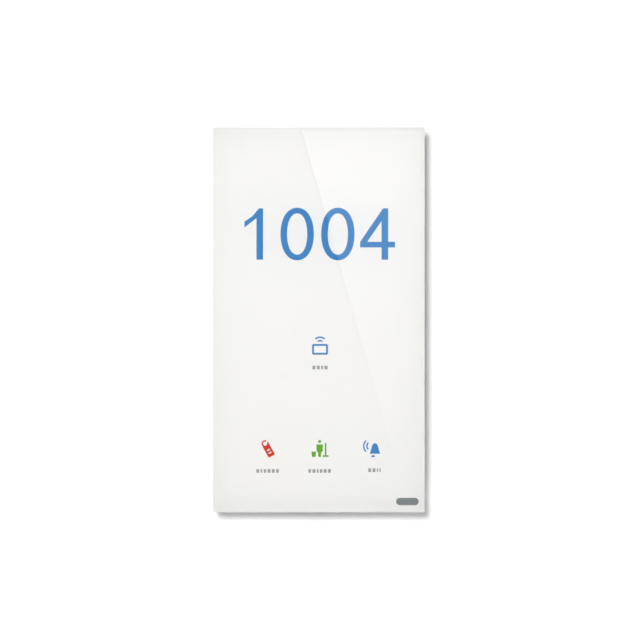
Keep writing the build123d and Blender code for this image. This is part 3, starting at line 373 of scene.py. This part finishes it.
finishes = {
    "cover_glass": glassFinish("clearGlass", (0.985, 0.99, 0.987), roughness=0.0, mottle=35.0, drift=0.012),
    "print_white": filmFinish("whitePrint", (0.745, 0.735, 0.724)),
    "symbol_blue": filmFinish("blueFilm", (0.029, 0.180, 0.442)),
    "symbol_red": filmFinish("redFilm", (0.50, 0.016, 0.002)),
    "symbol_green": filmFinish("greenFilm", (0.095, 0.305, 0.002)),
    "print_grey": filmFinish("greyPrint", (0.262, 0.266, 0.266)),
    "tape": rubberFinish("foamTape", (0.62, 0.62, 0.61)),
    "diffuser": filmFinish("frostedFoil", (0.85, 0.86, 0.87), roughness=0.6, specular=0.4),
    "housing_white": plasticFinish("housingWhite", (0.79, 0.785, 0.775), roughness=0.42, grain=1900.0,
                                   depth=0.03),
    "baffle_white": plasticFinish("baffleWhite", (0.84, 0.84, 0.83), roughness=0.4),
    "cover_grey": plasticFinish("coverGrey", (0.165, 0.17, 0.175), roughness=0.48, grain=1700.0,
                                depth=0.045, drift=0.84),
    "board": boardFinish("greenBoard", (0.012, 0.10, 0.045), (0.03, 0.19, 0.085)),
    "copper": turnedMetalFinish("goldCopper", (0.86, 0.60, 0.26), roughness=0.28),
    "chip_black": chipFinish("blackEpoxy", (0.018, 0.018, 0.02)),
    "diode_white": plasticFinish("diodeBody", (0.83, 0.78, 0.55), roughness=0.3),
    "tinned": turnedMetalFinish("tinPlate", (0.72, 0.72, 0.71), roughness=0.24),
    "frame_steel": sheetSteelFinish("zincSheet", (0.50, 0.51, 0.52), roughness=0.42, spangle=230.0),
    "screw_steel": turnedMetalFinish("zincScrew", (0.60, 0.61, 0.62), roughness=0.28),
    "pad_rubber": rubberFinish("blackRubber", (0.022, 0.022, 0.023)),
    "label_silver": filmFinish("silverLabel", (0.62, 0.62, 0.62), roughness=0.35, specular=0.5),
    "light_red": lensFinish("redLens", (0.55, 0.012, 0.012)),
    "button_grey": plasticFinish("buttonGrey", (0.42, 0.43, 0.44), roughness=0.38),
    "pole_red": plasticFinish("poleRed", (0.50, 0.016, 0.012), roughness=0.34, grain=3600.0, depth=0.008),
    "pole_black": plasticFinish("poleBlack", (0.024, 0.024, 0.027), roughness=0.36, grain=3600.0,
                                depth=0.008),
    "pole_yellow": plasticFinish("poleYellow", (0.80, 0.52, 0.015), roughness=0.34, grain=3600.0,
                                 depth=0.008),
    "pole_white": plasticFinish("poleWhite", (0.77, 0.765, 0.74), roughness=0.34, grain=3600.0,
                                depth=0.008),
}
# the pane's ground rim
groundGlass = glassFinish("groundGlass", (0.60, 0.66, 0.63), roughness=0.28, mottle=900.0, drift=0.1)
print("materials made")


# making pieces

def linkNew(name, data):
    item = bpy.data.objects.new(name, data)
    bpy.context.scene.collection.objects.link(item)
    return item


def makePiece(bm, name, body, slotName, stand=True, sharp=32):
    if stand:
        bmesh.ops.transform(bm, matrix=standOnWall, verts=bm.verts)
    mesh = bpy.data.meshes.new(name)
    bm.to_mesh(mesh)
    bm.free()
    mesh.materials.append(finishes[slotName])
    mesh.shade_smooth()
    mesh.set_sharp_from_angle(angle=math.radians(sharp))
    piece = linkNew(name, mesh)
    shading = piece.modifiers.new("evenShading", "WEIGHTED_NORMAL")
    shading.keep_sharp = True
    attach(piece, body)
    return piece


def bevelEdges(bm, edges, width, segments=2):
    bmesh.ops.bevel(bm, geom=edges, offset=width, offset_type="OFFSET", affect="EDGES", segments=segments,
                    profile=0.5, material=-1, clamp_overlap=True, loop_slide=True)


def sharpEdges(bm, angle=30):
    limit = math.radians(angle)
    return [edge for edge in bm.edges if len(edge.link_faces) == 2 and edge.calc_face_angle() > limit]


def mergedCopy(nodeName):
    # a CAD mesh joined up, with its flat faces in one piece each
    bm = bmesh.new()
    bm.from_mesh(nodes[nodeName].data)
    bmesh.ops.remove_doubles(bm, verts=bm.verts, dist=0.001 * mm)
    bmesh.ops.dissolve_limit(bm, angle_limit=math.radians(1.5), verts=bm.verts, edges=bm.edges)
    return bm


def softenedCopy(nodeName, pieceName, width):
    # the CAD shape with its hard edges rounded
    bm = mergedCopy(nodeName)
    bevelEdges(bm, sharpEdges(bm), width * mm)
    piece = makePiece(bm, pieceName, bodyOf[nodeName], slotOf[nodeName], stand=False)
    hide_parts(nodeName)


def roundedSheet(bm, width, height, corner, steps, spot=(0, 0, 0)):
    # a flat rectangle with rounded corners, facing the room
    before = set(bm.faces)
    made = bmesh.ops.create_grid(bm, x_segments=1, y_segments=1, size=0.5)
    bmesh.ops.scale(bm, vec=(width, height, 1), verts=made["verts"])
    bmesh.ops.translate(bm, vec=spot, verts=made["verts"])
    if corner:
        bmesh.ops.bevel(bm, geom=made["verts"], offset=corner, offset_type="OFFSET", affect="VERTICES",
                        segments=steps, profile=0.5, material=-1)
    return [face for face in bm.faces if face not in before]


def raiseFaces(bm, faces, rise):
    # pulls faces up and returns the raised ones
    made = bmesh.ops.extrude_face_region(bm, geom=faces)["geom"]
    top = [item for item in made if isinstance(item, bmesh.types.BMFace)]
    corners = [item for item in made if isinstance(item, bmesh.types.BMVert)]
    bmesh.ops.translate(bm, vec=(0, 0, rise), verts=corners)
    # a face that was already part of a shell would stay behind inside it
    inside = [face for face in faces if any(len(edge.link_faces) > 2 for edge in face.edges)]
    bmesh.ops.delete(bm, geom=inside, context="FACES_ONLY")
    return top, corners


# cover glass
glassSizes = {"corner": 0.5, "cornerSteps": 6, "bevelWidth": 1.4, "bevelDepth": 0.6, "arris": 0.16,
              "rimSlope": 0.85, "bond": 0.01}


def makeCoverGlass():
    low, high = wallSpan("cover_glass")
    # the print is bonded to the glass, so it lies inside the new piece
    rear = wallSpan("back_print")[0].z + glassSizes["bond"]
    size = high - low
    bm = bmesh.new()
    faces = roundedSheet(bm, size.x, size.y, glassSizes["corner"], glassSizes["cornerSteps"], (0, 0, rear))
    faces = raiseFaces(bm, faces, high.z - glassSizes["bevelDepth"] - rear)[0]
    corners = raiseFaces(bm, faces, glassSizes["bevelDepth"])[1]
    shrink = [1 - 2 * glassSizes["bevelWidth"] / side for side in (size.x, size.y)]
    bmesh.ops.scale(bm, vec=(*shrink, 1), verts=corners)
    bmesh.ops.recalc_face_normals(bm, faces=bm.faces)
    bevelEdges(bm, sharpEdges(bm, 15), glassSizes["arris"])
    for face in bm.faces:
        face.material_index = int(abs(face.normal.z) < glassSizes["rimSlope"])
    piece = makePiece(bm, "coverGlass", "reader", "cover_glass")
    piece.data.materials.append(groundGlass)
    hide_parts("cover_glass")


makeCoverGlass()
print("cover glass made")

# casings, each with the rounding of its edges
for casing in (("front_housing", "frontHousing", 0.2), ("rear_cover", "rearCover", 0.12),
               ("coupler_case", "couplerCase", 0.2), ("mounting_frame", "mountingFrame", 0.12)):
    softenedCopy(*casing)
print("casings made")


# marks moulded on the rear
def addSlab(bm, x, y, width, height, base, rise, corner=0.0, turn=0.0):
    faces = roundedSheet(bm, width, height, corner, 4)
    corners = {vert for face in faces for vert in face.verts}
    place = Matrix.Translation((x, y, base)) @ Matrix.Rotation(math.radians(turn), 4, "Z")
    bmesh.ops.transform(bm, matrix=place, verts=list(corners))
    raiseFaces(bm, faces, rise)


def addRing(bm, x, y, radius, width, base, rise, segments=48):
    place = Matrix.Translation((x, y, base))
    rims = []
    for size in (radius - width, radius):
        made = bmesh.ops.create_circle(bm, segments=segments, radius=size, matrix=place)["verts"]
        rims += list({edge for vert in made for edge in vert.link_edges})
    raiseFaces(bm, bmesh.ops.bridge_loops(bm, edges=rims)["faces"], rise)


arrowShares = {"stem": (0.36, 0.6), "stemDrop": 0.2, "head": 0.62, "headRise": 0.22}


def addArrow(bm, x, y, length, width, base, rise):
    stem = arrowShares["stem"]
    addSlab(bm, x, y - length * arrowShares["stemDrop"], width * stem[0], length * stem[1], base, rise)
    place = Matrix.Translation((x, y + length * arrowShares["headRise"], base))
    made = bmesh.ops.create_circle(bm, cap_ends=True, segments=3, radius=width * arrowShares["head"],
                                   matrix=place)["verts"]
    raiseFaces(bm, list({face for vert in made for face in vert.link_faces}), rise)


def finishMarks(bm, name, body, slotName, rounding):
    bmesh.ops.recalc_face_normals(bm, faces=bm.faces)
    if rounding:
        bevelEdges(bm, sharpEdges(bm, 40), rounding, 1)
    return makePiece(bm, name, body, slotName)


markSizes = {"rise": 0.24, "sink": 0.02, "rounding": 0.05, "arrow": (-11.5, 12.0, 5.2, 3.4),
             "dial": (13.0, 12.4, 2.7), "dialWidth": 0.28, "hub": 0.42, "hubWidth": 0.2, "ticks": 12,
             "tickRing": 0.78, "tick": (0.55, 0.16), "hand": (0.18, 1.5), "handTurn": -38,
             "signY": 1.2, "sign": (2.0, 0.42), "gaugeY": -16.0, "gauge": (6.0, 0.3), "gaugeEnd": (0.3, 1.5),
             "ringsX": 16.0, "ringsY": -16.4, "ring": (1.5, 0.18)}


def makePotMarks():
    # an up arrow, the mould's date dial, plus and minus over the poles, a strip-length gauge, pin rings
    base = wallSpan("coupler_case")[0].z + markSizes["sink"]
    rise = -markSizes["rise"] - markSizes["sink"]
    bm = bmesh.new()
    addArrow(bm, *markSizes["arrow"], base, rise)
    x, y, radius = markSizes["dial"]
    addRing(bm, x, y, radius, markSizes["dialWidth"], base, rise)
    addRing(bm, x, y, radius * markSizes["hub"], markSizes["hubWidth"], base, rise, 32)
    for step in range(markSizes["ticks"]):
        turn = step * math.tau / markSizes["ticks"]
        out = Vector((math.cos(turn), math.sin(turn))) * radius * markSizes["tickRing"]
        addSlab(bm, x + out.x, y + out.y, *markSizes["tick"], base, rise, turn=math.degrees(turn))
    addSlab(bm, x, y, *markSizes["hand"], base, rise, turn=markSizes["handTurn"])
    length, width = markSizes["sign"]
    for pole, isPlus in (("bus_terminal_red", True), ("bus_terminal_black", False),
                         ("aux_terminal_yellow", True), ("aux_terminal_white", False)):
        low, high = wallSpan(pole)
        middle = (low.x + high.x) / 2
        addSlab(bm, middle, markSizes["signY"], length, width, base, rise)
        if isPlus:
            for side in (-1, 1):
                upright = markSizes["signY"] + side * (length + width) / 4
                addSlab(bm, middle, upright, width, (length - width) / 2, base, rise)
    long, thin = markSizes["gauge"]
    addSlab(bm, 0, markSizes["gaugeY"], long, thin, base, rise)
    for side in (-1, 1):
        addSlab(bm, side * (long + thin) / 2, markSizes["gaugeY"], *markSizes["gaugeEnd"], base, rise)
        addRing(bm, side * markSizes["ringsX"], markSizes["ringsY"], *markSizes["ring"], base, rise)
    return finishMarks(bm, "potMarks", "reader", "cover_grey", markSizes["rounding"])


coverMarkSizes = {"rise": 0.12, "sink": 0.02, "rounding": 0.03, "arrow": (-16.0, 44.0, 4.2, 2.8),
                  "ring": (1.6, 0.2), "rings": ((-18.6, 37.6), (-18.6, 50.4), (18.6, 37.6),
                                                (18.6, 50.4), (-34.0, 8.0), (34.0, 8.0))}


def makeCoverMarks():
    # pin rings and an up arrow on the rear cover, seen through the frame's windows
    base = wallSpan("rating_label")[1].z + coverMarkSizes["sink"]
    rise = -coverMarkSizes["rise"] - coverMarkSizes["sink"]
    bm = bmesh.new()
    for x, y in coverMarkSizes["rings"]:
        addRing(bm, x, y, *coverMarkSizes["ring"], base, rise)
    addArrow(bm, *coverMarkSizes["arrow"], base, rise)
    return finishMarks(bm, "coverMarks", "reader", "cover_grey", coverMarkSizes["rounding"])


makePotMarks()
makeCoverMarks()
print("moulded marks made")

# rating label: a foil with ruled lines and bars where words would stand
labelSizes = {"corner": 1.0, "cornerSteps": 8, "rounding": 0.03, "sink": 0.005, "ink": 0.02, "margin": 1.1,
              "line": 0.16, "split": 0.62, "wide": 0.56, "narrow": 0.32, "bar": 0.62, "barCorner": 0.12,
              "barInset": 0.9, "barGap": 0.8}
# the bars of each row: two as shares of the wide column and one of the narrow
labelBars = ((0.42, 0.30, 0.62), (0.55, 0.18, 0.40), (0.30, 0.46, 0.70), (0.62, 0.14, 0.52))


def makeLabel():
    low, high = wallSpan("rating_label")
    bm = bmesh.new()
    spot = (0, (low.y + high.y) / 2, high.z)
    faces = roundedSheet(bm, high.x - low.x, high.y - low.y, labelSizes["corner"],
                         labelSizes["cornerSteps"], spot)
    raiseFaces(bm, faces, low.z - high.z)
    sheet = finishMarks(bm, "ratingLabel", "reader", "label_silver", labelSizes["rounding"])
    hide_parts("rating_label")

    bm = bmesh.new()
    base, rise = low.z + labelSizes["sink"], -labelSizes["ink"] - labelSizes["sink"]
    margin, line = labelSizes["margin"], labelSizes["line"]
    left, right, foot, top = low.x + margin, high.x - margin, low.y + margin, high.y - margin
    across, pitch = right - left, (top - foot) / len(labelBars)
    split = left + labelSizes["split"] * across
    wide, narrow = labelSizes["wide"] * across, labelSizes["narrow"] * across
    for row in range(len(labelBars) + 1):
        addSlab(bm, (left + right) / 2, foot + row * pitch, across, line, base, rise)
    for row, (first, second, third) in enumerate(labelBars):
        middle = foot + (row + 0.5) * pitch
        for x in (left, split, right):
            addSlab(bm, x, middle, line, pitch - line, base, rise)
        firstStart = left + labelSizes["barInset"]
        secondStart = firstStart + first * wide + labelSizes["barGap"]
        thirdStart = split + labelSizes["barInset"]
        for start, width in ((firstStart, first * wide), (secondStart, second * wide),
                             (thirdStart, third * narrow)):
            addSlab(bm, start + width / 2, middle, width, labelSizes["bar"], base, rise,
                    labelSizes["barCorner"])
    finishMarks(bm, "labelInk", "reader", "print_grey", 0)


makeLabel()
print("label made")

# terminals, pads and fixings, each with the rounding of its edges
for fitting in (("bus_terminal_red", "busPoleRed", 0.14), ("bus_terminal_black", "busPoleBlack", 0.14),
                ("aux_terminal_yellow", "auxPoleYellow", 0.14), ("aux_terminal_white", "auxPoleWhite", 0.14),
                ("cover_screws", "coverScrews", 0.08), ("damper_pads", "damperPads", 0.07),
                ("lock_nut", "lockNut", 0.1), ("lock_washer", "lockWasher", 0.08)):
    softenedCopy(*fitting)

clampSizes = {"width": 0.92, "length": 3.6, "thick": 0.1, "corner": 0.12, "rounding": 0.02, "depth": 1.0,
              "lean": 9.0, "holes": 4, "pitch": 2.6, "lift": 0.1}


def makeClamps(name, body, poleNames):
    # the spring leaf that shows in each wire hole
    bm = bmesh.new()
    lean = Matrix.Rotation(math.radians(90 + clampSizes["lean"]), 4, "X")
    for pole in poleNames:
        low, high = wallSpan(pole)
        middle = (low + high) / 2
        depth = low.z + clampSizes["depth"] + clampSizes["length"] / 2
        for hole in range(clampSizes["holes"]):
            before = set(bm.verts)
            addSlab(bm, 0, 0, clampSizes["width"], clampSizes["length"], 0, clampSizes["thick"],
                    clampSizes["corner"])
            leaf = [vert for vert in bm.verts if vert not in before]
            fromMiddle = (hole - (clampSizes["holes"] - 1) / 2) * clampSizes["pitch"]
            spot = (middle.x, middle.y + fromMiddle + clampSizes["lift"], depth)
            bmesh.ops.transform(bm, matrix=Matrix.Translation(spot) @ lean, verts=leaf)
    finishMarks(bm, name, body, "tinned", clampSizes["rounding"])


makeClamps("busClamps", "bus_terminal", ("bus_terminal_red", "bus_terminal_black"))
makeClamps("auxClamps", "aux_terminal", ("aux_terminal_yellow", "aux_terminal_white"))
print("terminals made")

screwSizes = {"core": 1.0, "crest": 1.24, "pitch": 0.45, "steps": 24, "neck": 0.2, "sink": 0.1, "tip": 0.3,
              "rounding": 0.1, "rootWidth": 0.88, "crestWidth": 0.14, "rootSink": 0.05}


def makeLockScrew():
    # the head keeps the CAD shape, the shank gets a real thread
    low, high = wallSpan("lock_screw")
    axis = Vector((0, 0, (low.z + high.z) / 2))
    neck = wallSpan("lock_washer")[0].y + screwSizes["neck"]
    bm = mergedCopy("lock_screw")
    bmesh.ops.bisect_plane(bm, geom=bm.verts[:] + bm.edges[:] + bm.faces[:], plane_co=(0, 0, neck * mm),
                           plane_no=(0, 0, 1), clear_outer=True)
    bmesh.ops.holes_fill(bm, edges=[edge for edge in bm.edges if edge.is_boundary])
    bevelEdges(bm, sharpEdges(bm), screwSizes["rounding"] * mm)
    bmesh.ops.transform(bm, matrix=standOnWall.inverted(), verts=bm.verts)
    # shank core, turned about the screw's own axis
    core, tip = screwSizes["core"], screwSizes["tip"]
    foot = neck - screwSizes["sink"]
    outline = [(0, high.y), (core - tip, high.y), (core, high.y - tip), (core, foot), (0, foot)]
    corners = [bm.verts.new((x, y, axis.z)) for x, y in outline]
    edges = [bm.edges.new(pair) for pair in zip(corners, corners[1:])]
    bmesh.ops.spin(bm, geom=corners + edges, cent=axis, axis=(0, 1, 0), angle=math.tau, steps=32,
                   use_merge=True)
    poles = [vert for vert in bm.verts if abs(vert.co.x) < 0.001 and abs(vert.co.z - axis.z) < 0.001]
    bmesh.ops.remove_doubles(bm, verts=poles, dist=0.001)
    # the thread is a small ridge that climbs as it turns
    pitch = screwSizes["pitch"]
    start = neck + 0.5 * pitch
    turns = (high.y - tip - 0.5 * pitch - start) / pitch
    steps = int(turns * screwSizes["steps"])
    root, crest = core - screwSizes["rootSink"], screwSizes["crest"]
    halfRoot, halfCrest = screwSizes["rootWidth"] * pitch / 2, screwSizes["crestWidth"] * pitch / 2
    ridge = [(root, start - halfRoot), (crest, start - halfCrest), (crest, start + halfCrest),
             (root, start + halfRoot)]
    corners = [bm.verts.new((x, y, axis.z)) for x, y in ridge]
    edges = [bm.edges.new(pair) for pair in zip(corners, corners[1:] + corners[:1])]
    made = bmesh.ops.spin(bm, geom=corners + edges, cent=axis, axis=(0, 1, 0), angle=math.tau * turns,
                          dvec=(0, turns * pitch / steps, 0), steps=steps)["geom_last"]
    bm.faces.new(corners)
    bmesh.ops.contextual_create(bm, geom=[item for item in made if isinstance(item, bmesh.types.BMEdge)])
    bmesh.ops.recalc_face_normals(bm, faces=bm.faces)
    piece = makePiece(bm, "lockScrew", "lock_screw", "screw_steel", sharp=40)
    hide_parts("lock_screw")


makeLockScrew()
print("fixings made")

# chips on the main board
legSizes = {"width": 0.26, "out": 0.3, "bend": 0.15, "foot": 0.35, "thick": 0.13, "pitch": 0.8,
            "cornerGap": 0.8, "sink": 0.05}
sideways = Matrix(((1, 0, 0, 0), (0, 0, 1, 0), (0, 1, 0, 0), (0, 0, 0, 1)))   # swaps y and z


def makeChipLegs():
    # gull-wing legs: out of the side at mid height, down, and flat on the board
    bm = bmesh.new()
    for chip in ("controller_chip", "reader_chip", "touch_chip"):
        low, high = wallSpan(chip)
        middle, half = (low + high) / 2, (high.x - low.x) / 2
        count = int((2 * half - legSizes["cornerGap"]) / legSizes["pitch"])
        rise = (high.z - low.z) / 2
        fall = rise - legSizes["thick"] / 2
        steps = ((legSizes["out"], 0), (legSizes["bend"], fall), (legSizes["foot"], 0))
        for side in range(4):
            place = (Matrix.Translation((middle.x, middle.y, low.z))
                     @ Matrix.Rotation(side * math.pi / 2, 4, "Z")
                     @ Matrix.Translation((0, half - legSizes["sink"], 0)) @ sideways)
            for leg in range(count):
                before = set(bm.verts)
                offset = (leg - (count - 1) / 2) * legSizes["pitch"]
                faces = roundedSheet(bm, legSizes["width"], legSizes["thick"], 0, 1, (offset, rise, 0))
                for across, drop in steps:
                    faces, corners = raiseFaces(bm, faces, across)
                    bmesh.ops.translate(bm, vec=(0, -drop, 0), verts=corners)
                made = [vert for vert in bm.verts if vert not in before]
                bmesh.ops.transform(bm, matrix=place, verts=made)
    return finishMarks(bm, "chipLegs", "reader", "tinned", 0)


makeChipLegs()
for part in (("controller_chip", "controllerChip", 0.12), ("reader_chip", "readerChip", 0.1),
             ("touch_chip", "touchChip", 0.1), ("sounder", "sounderCan", 0.12),
             ("bus_capacitors", "busCapacitors", 0.25), ("link_socket", "linkSocket", 0.15),
             ("light_baffle", "lightBaffle", 0.1)):
    softenedCopy(*part)
print("board parts made")

# CAD nodes that keep their shape
ownFinishes = {"corner_mark": filmFinish("darkGreyPrint", (0.17, 0.19, 0.19))}
for name, node in nodes.items():
    if node.hide_render:
        continue   # a new piece stands for it
    node.data.materials.clear()
    node.data.materials.append(ownFinishes.get(name, finishes[slotOf[name]]))
print("materials given to the CAD nodes that show")


# room: a wall with a round hole behind the reader, a floor far below, soft lights
# the last four stage sizes set the painted glow of wall and floor, faint near the reader and full far away,
# where it stands in for lamp light
stageSizes = {"wallRadius": 4000.0, "holeRadius": 31.0, "wallBehind": 0.3, "floorDrop": 420.0,
              "floorRadius": 9000.0, "paintedGlowFrom": 300.0, "paintedGlowFullAt": 900.0, "glow": 0.8, "paintedGlowNear": 0.04}
viewSizes = {"width": 260.2, "distance": 1500.0, "left": 0.44, "down": 0.05, "sensor": 36.0}
glassFront = wallSpan("cover_glass")[1].z


def stageMaterial(name, grey):
    # matt paint with a painted glow: its emission, faint near the reader, brightens it away from the reader
    # where the lamps don't reach, and it is clear from its back
    material, tree, shader, place = newMaterial(name, Roughness=0.9, Specular_IOR_Level=0.1)
    color = (grey, grey, grey)
    grain = addNoise(tree, place, 40.0, 4.0)
    tree.links.new(mixColors(tree, grain, color, darker(color, 0.985)), shader.inputs["Base Color"])
    # painted light: the emission rises with distance from the reader and stands in for the lamp light that
    # falls off there
    far = addNode(tree, "ShaderNodeVectorMath", operation="LENGTH")
    tree.links.new(place, far.inputs[0])
    near, by = stageSizes["paintedGlowFrom"] * mm, stageSizes["paintedGlowFullAt"] * mm
    away = spread(tree, far.outputs["Value"], near, by, 0.0, 1.0)
    glow = mixColors(tree, away, (stageSizes["paintedGlowNear"],) * 3, (1, 1, 1))
    tree.links.new(glow, shader.inputs["Emission Color"])
    shader.inputs["Emission Strength"].default_value = stageSizes["glow"]
    side = addNode(tree, "ShaderNodeNewGeometry")
    clearWhere(tree, shader, side.outputs["Backfacing"])
    return material


def hideFrom(item, *rays):
    for ray in rays:
        setattr(item, "visible_" + ray, False)


def stagePiece(bm, name, material):
    mesh = bpy.data.meshes.new(name)
    bm.to_mesh(mesh)
    bm.free()
    mesh.materials.append(material)
    piece = linkNew(name, mesh)
    return piece


def makeWall():
    # a disc with a round hole where the wall box is, seen from the room only
    bm = bmesh.new()
    rims = []
    for radius in (stageSizes["holeRadius"], stageSizes["wallRadius"]):
        bmesh.ops.create_circle(bm, segments=96, radius=radius)
        rims.append([edge for edge in bm.edges if not any(edge in rim for rim in rims)])
    bmesh.ops.bridge_loops(bm, edges=rims[0] + rims[1])
    bm.normal_update()
    bmesh.ops.reverse_faces(bm, faces=[face for face in bm.faces if face.normal.z < 0])
    bmesh.ops.translate(bm, vec=(0, 0, -stageSizes["wallBehind"]), verts=bm.verts)
    bmesh.ops.transform(bm, matrix=standOnWall, verts=bm.verts)
    wall = stagePiece(bm, "wall", stageMaterial("wallPaintAndPaintedGlow", 0.96))
    # it is there for the eye and for the reader's shadow, and keeps no light off the reader's rear
    hideFrom(wall, "shadow", "glossy", "diffuse")


def makeFloor():
    bm = bmesh.new()
    bmesh.ops.create_circle(bm, cap_ends=True, segments=96, radius=stageSizes["floorRadius"] * mm)
    bmesh.ops.translate(bm, vec=(0, 0, -stageSizes["floorDrop"] * mm), verts=bm.verts)
    floor = stagePiece(bm, "floor", stageMaterial("floorPaintAndPaintedGlow", 0.86))
    hideFrom(floor, "diffuse", "transmission", "glossy")


makeWall()
makeFloor()

# the key light sits up and to the left, its place and radius as shares of its distance
keySizes = {"away": 1200.0, "left": 0.205, "up": 0.26, "radius": 0.17, "power": 13.85}
keySpot = (-keySizes["left"] * keySizes["away"], -keySizes["away"], keySizes["up"] * keySizes["away"])
lights = (   # name, place, radius, power, mirrored in the glass
    ("keyLight", keySpot, keySizes["radius"] * keySizes["away"], keySizes["power"], False),
    ("frontLight", (0, -1650, 0), 30, 1.0, False),
    ("leftStrip", (-900, -260, 60), 220, 0.9, True),
    ("rightStrip", (900, -260, 60), 220, 0.9, True),
    ("rearHigh", (-700, 1150, 900), 560, 4.6, True),
    ("rearSide", (950, 900, 120), 320, 4.5, True),
    ("rearFill", (200, 1500, 250), 450, 5.0, True),
    ("topLight", (0, -250, 1000), 260, 1.0, True),
    ("bottomLight", (0, -150, -390), 120, 0.55, False),
)


def makeLight(name, spot, radius, power, mirrored):
    # a disc that faces the reader
    data = bpy.data.lights.new(name, "AREA")
    data.shape = "DISK"
    data.size = 2 * radius * mm
    data.energy = power
    light = linkNew(name, data)
    light.location = Vector(spot) * mm
    light.rotation_euler = (-Vector(spot)).to_track_quat("-Z", "Y").to_euler()
    hideFrom(light, "camera", "transmission")   # the print is lit straight through the glass already
    light.visible_glossy = mirrored


for light in lights:
    makeLight(*light)

# where the glare's edge crosses the glass, at its upper and its lower end
glareSizes = {"behind": 1600.0, "top": (-7.2, 77.2), "foot": (33.5, -66.3), "reach": 2.2, "fadeHeight": 140.0}


def makeGlareCard(name, shift, width, low, high):
    # a slanted card behind the camera: the glass mirrors its edge as a diagonal line
    grow = 1 + glareSizes["behind"] / viewSizes["distance"]
    top, foot = Vector(glareSizes["top"]) * grow, Vector(glareSizes["foot"]) * grow
    slant = (foot.x - top.x) / (foot.y - top.y)
    middle = (top + foot) / 2
    bm = bmesh.new()
    made = bmesh.ops.create_grid(bm, x_segments=1, y_segments=8, size=0.5)["verts"]
    bmesh.ops.scale(bm, vec=(width, glareSizes["reach"] * (top.y - foot.y), 1), verts=made)
    bmesh.ops.translate(bm, vec=(width / 2 + shift, 0, 0), verts=made)
    for vert in made:
        vert.co.x += vert.co.y * slant
    bmesh.ops.translate(bm, vec=(middle.x, middle.y, glassFront + glareSizes["behind"]), verts=made)
    bmesh.ops.reverse_faces(bm, faces=bm.faces)
    bmesh.ops.transform(bm, matrix=standOnWall, verts=bm.verts)
    material = bpy.data.materials.new(name)
    material.use_nodes = True
    tree = material.node_tree
    tree.nodes.remove(tree.nodes["Principled BSDF"])
    glow = addNode(tree, "ShaderNodeEmission")
    split = addNode(tree, "ShaderNodeSeparateXYZ")
    tree.links.new(addNode(tree, "ShaderNodeTexCoord").outputs["Object"], split.inputs[0])
    fade = glareSizes["fadeHeight"] * mm
    tree.links.new(spread(tree, split.outputs["Z"], -fade, fade, low, high), glow.inputs["Strength"])
    tree.links.new(glow.outputs[0], tree.nodes["Material Output"].inputs[0])
    card = stagePiece(bm, name, material)
    hideFrom(card, "camera", "diffuse", "transmission", "shadow")


makeGlareCard("glareCard", 0.0, 170.0, 0.85, 1.85)
makeGlareCard("glareEdge", -2.6, 2.6, 0.78, 0.30)

worldSizes = {"toEye": 0.95, "inGlass": 0.75, "low": 0.46, "lowAt": -0.5, "high": 0.80, "highAt": 0.7,
              "frontFrom": -0.75, "frontTo": -0.45, "onMatt": 0.12}


def makeWorld():
    # pale to the eye, bright in front and above in the reflections, and little light on matt surfaces
    sizes = worldSizes
    world = bpy.data.worlds.new("paleRoom")
    bpy.context.scene.world = world
    world.use_nodes = True
    tree = world.node_tree
    back = tree.nodes["Background"]
    back.inputs["Color"].default_value = (0.98, 0.99, 1.0, 1)
    ray = addNode(tree, "ShaderNodeLightPath")
    split = addNode(tree, "ShaderNodeSeparateXYZ")
    tree.links.new(addNode(tree, "ShaderNodeTexCoord").outputs["Generated"], split.inputs[0])
    height = spread(tree, split.outputs["Z"], sizes["lowAt"], sizes["highAt"], sizes["low"], sizes["high"])
    mirrored = spread(tree, split.outputs["Y"], sizes["frontFrom"], sizes["frontTo"], sizes["inGlass"],
                      height)
    seen = spread(tree, ray.outputs["Is Camera Ray"], 0.0, 1.0, mirrored, sizes["toEye"])
    strength = spread(tree, ray.outputs["Diffuse Depth"], 0.0, 1.0, seen, sizes["onMatt"])
    tree.links.new(strength, back.inputs["Strength"])


def makeCamera():
    data = bpy.data.cameras.new("camera")
    data.sensor_width = viewSizes["sensor"]
    data.lens = data.sensor_width * viewSizes["distance"] / viewSizes["width"]
    data.clip_start = 0.01
    data.clip_end = 50.0
    camera = linkNew("camera", data)
    away = glassFront + viewSizes["distance"]
    camera.location = Vector((viewSizes["left"], -away, -viewSizes["down"])) * mm
    camera.rotation_euler = (math.radians(90), 0, 0)
    bpy.context.scene.camera = camera


makeWorld()
makeCamera()
bpy.context.scene.view_settings.view_transform = "Standard"
print("room, lights and camera set")
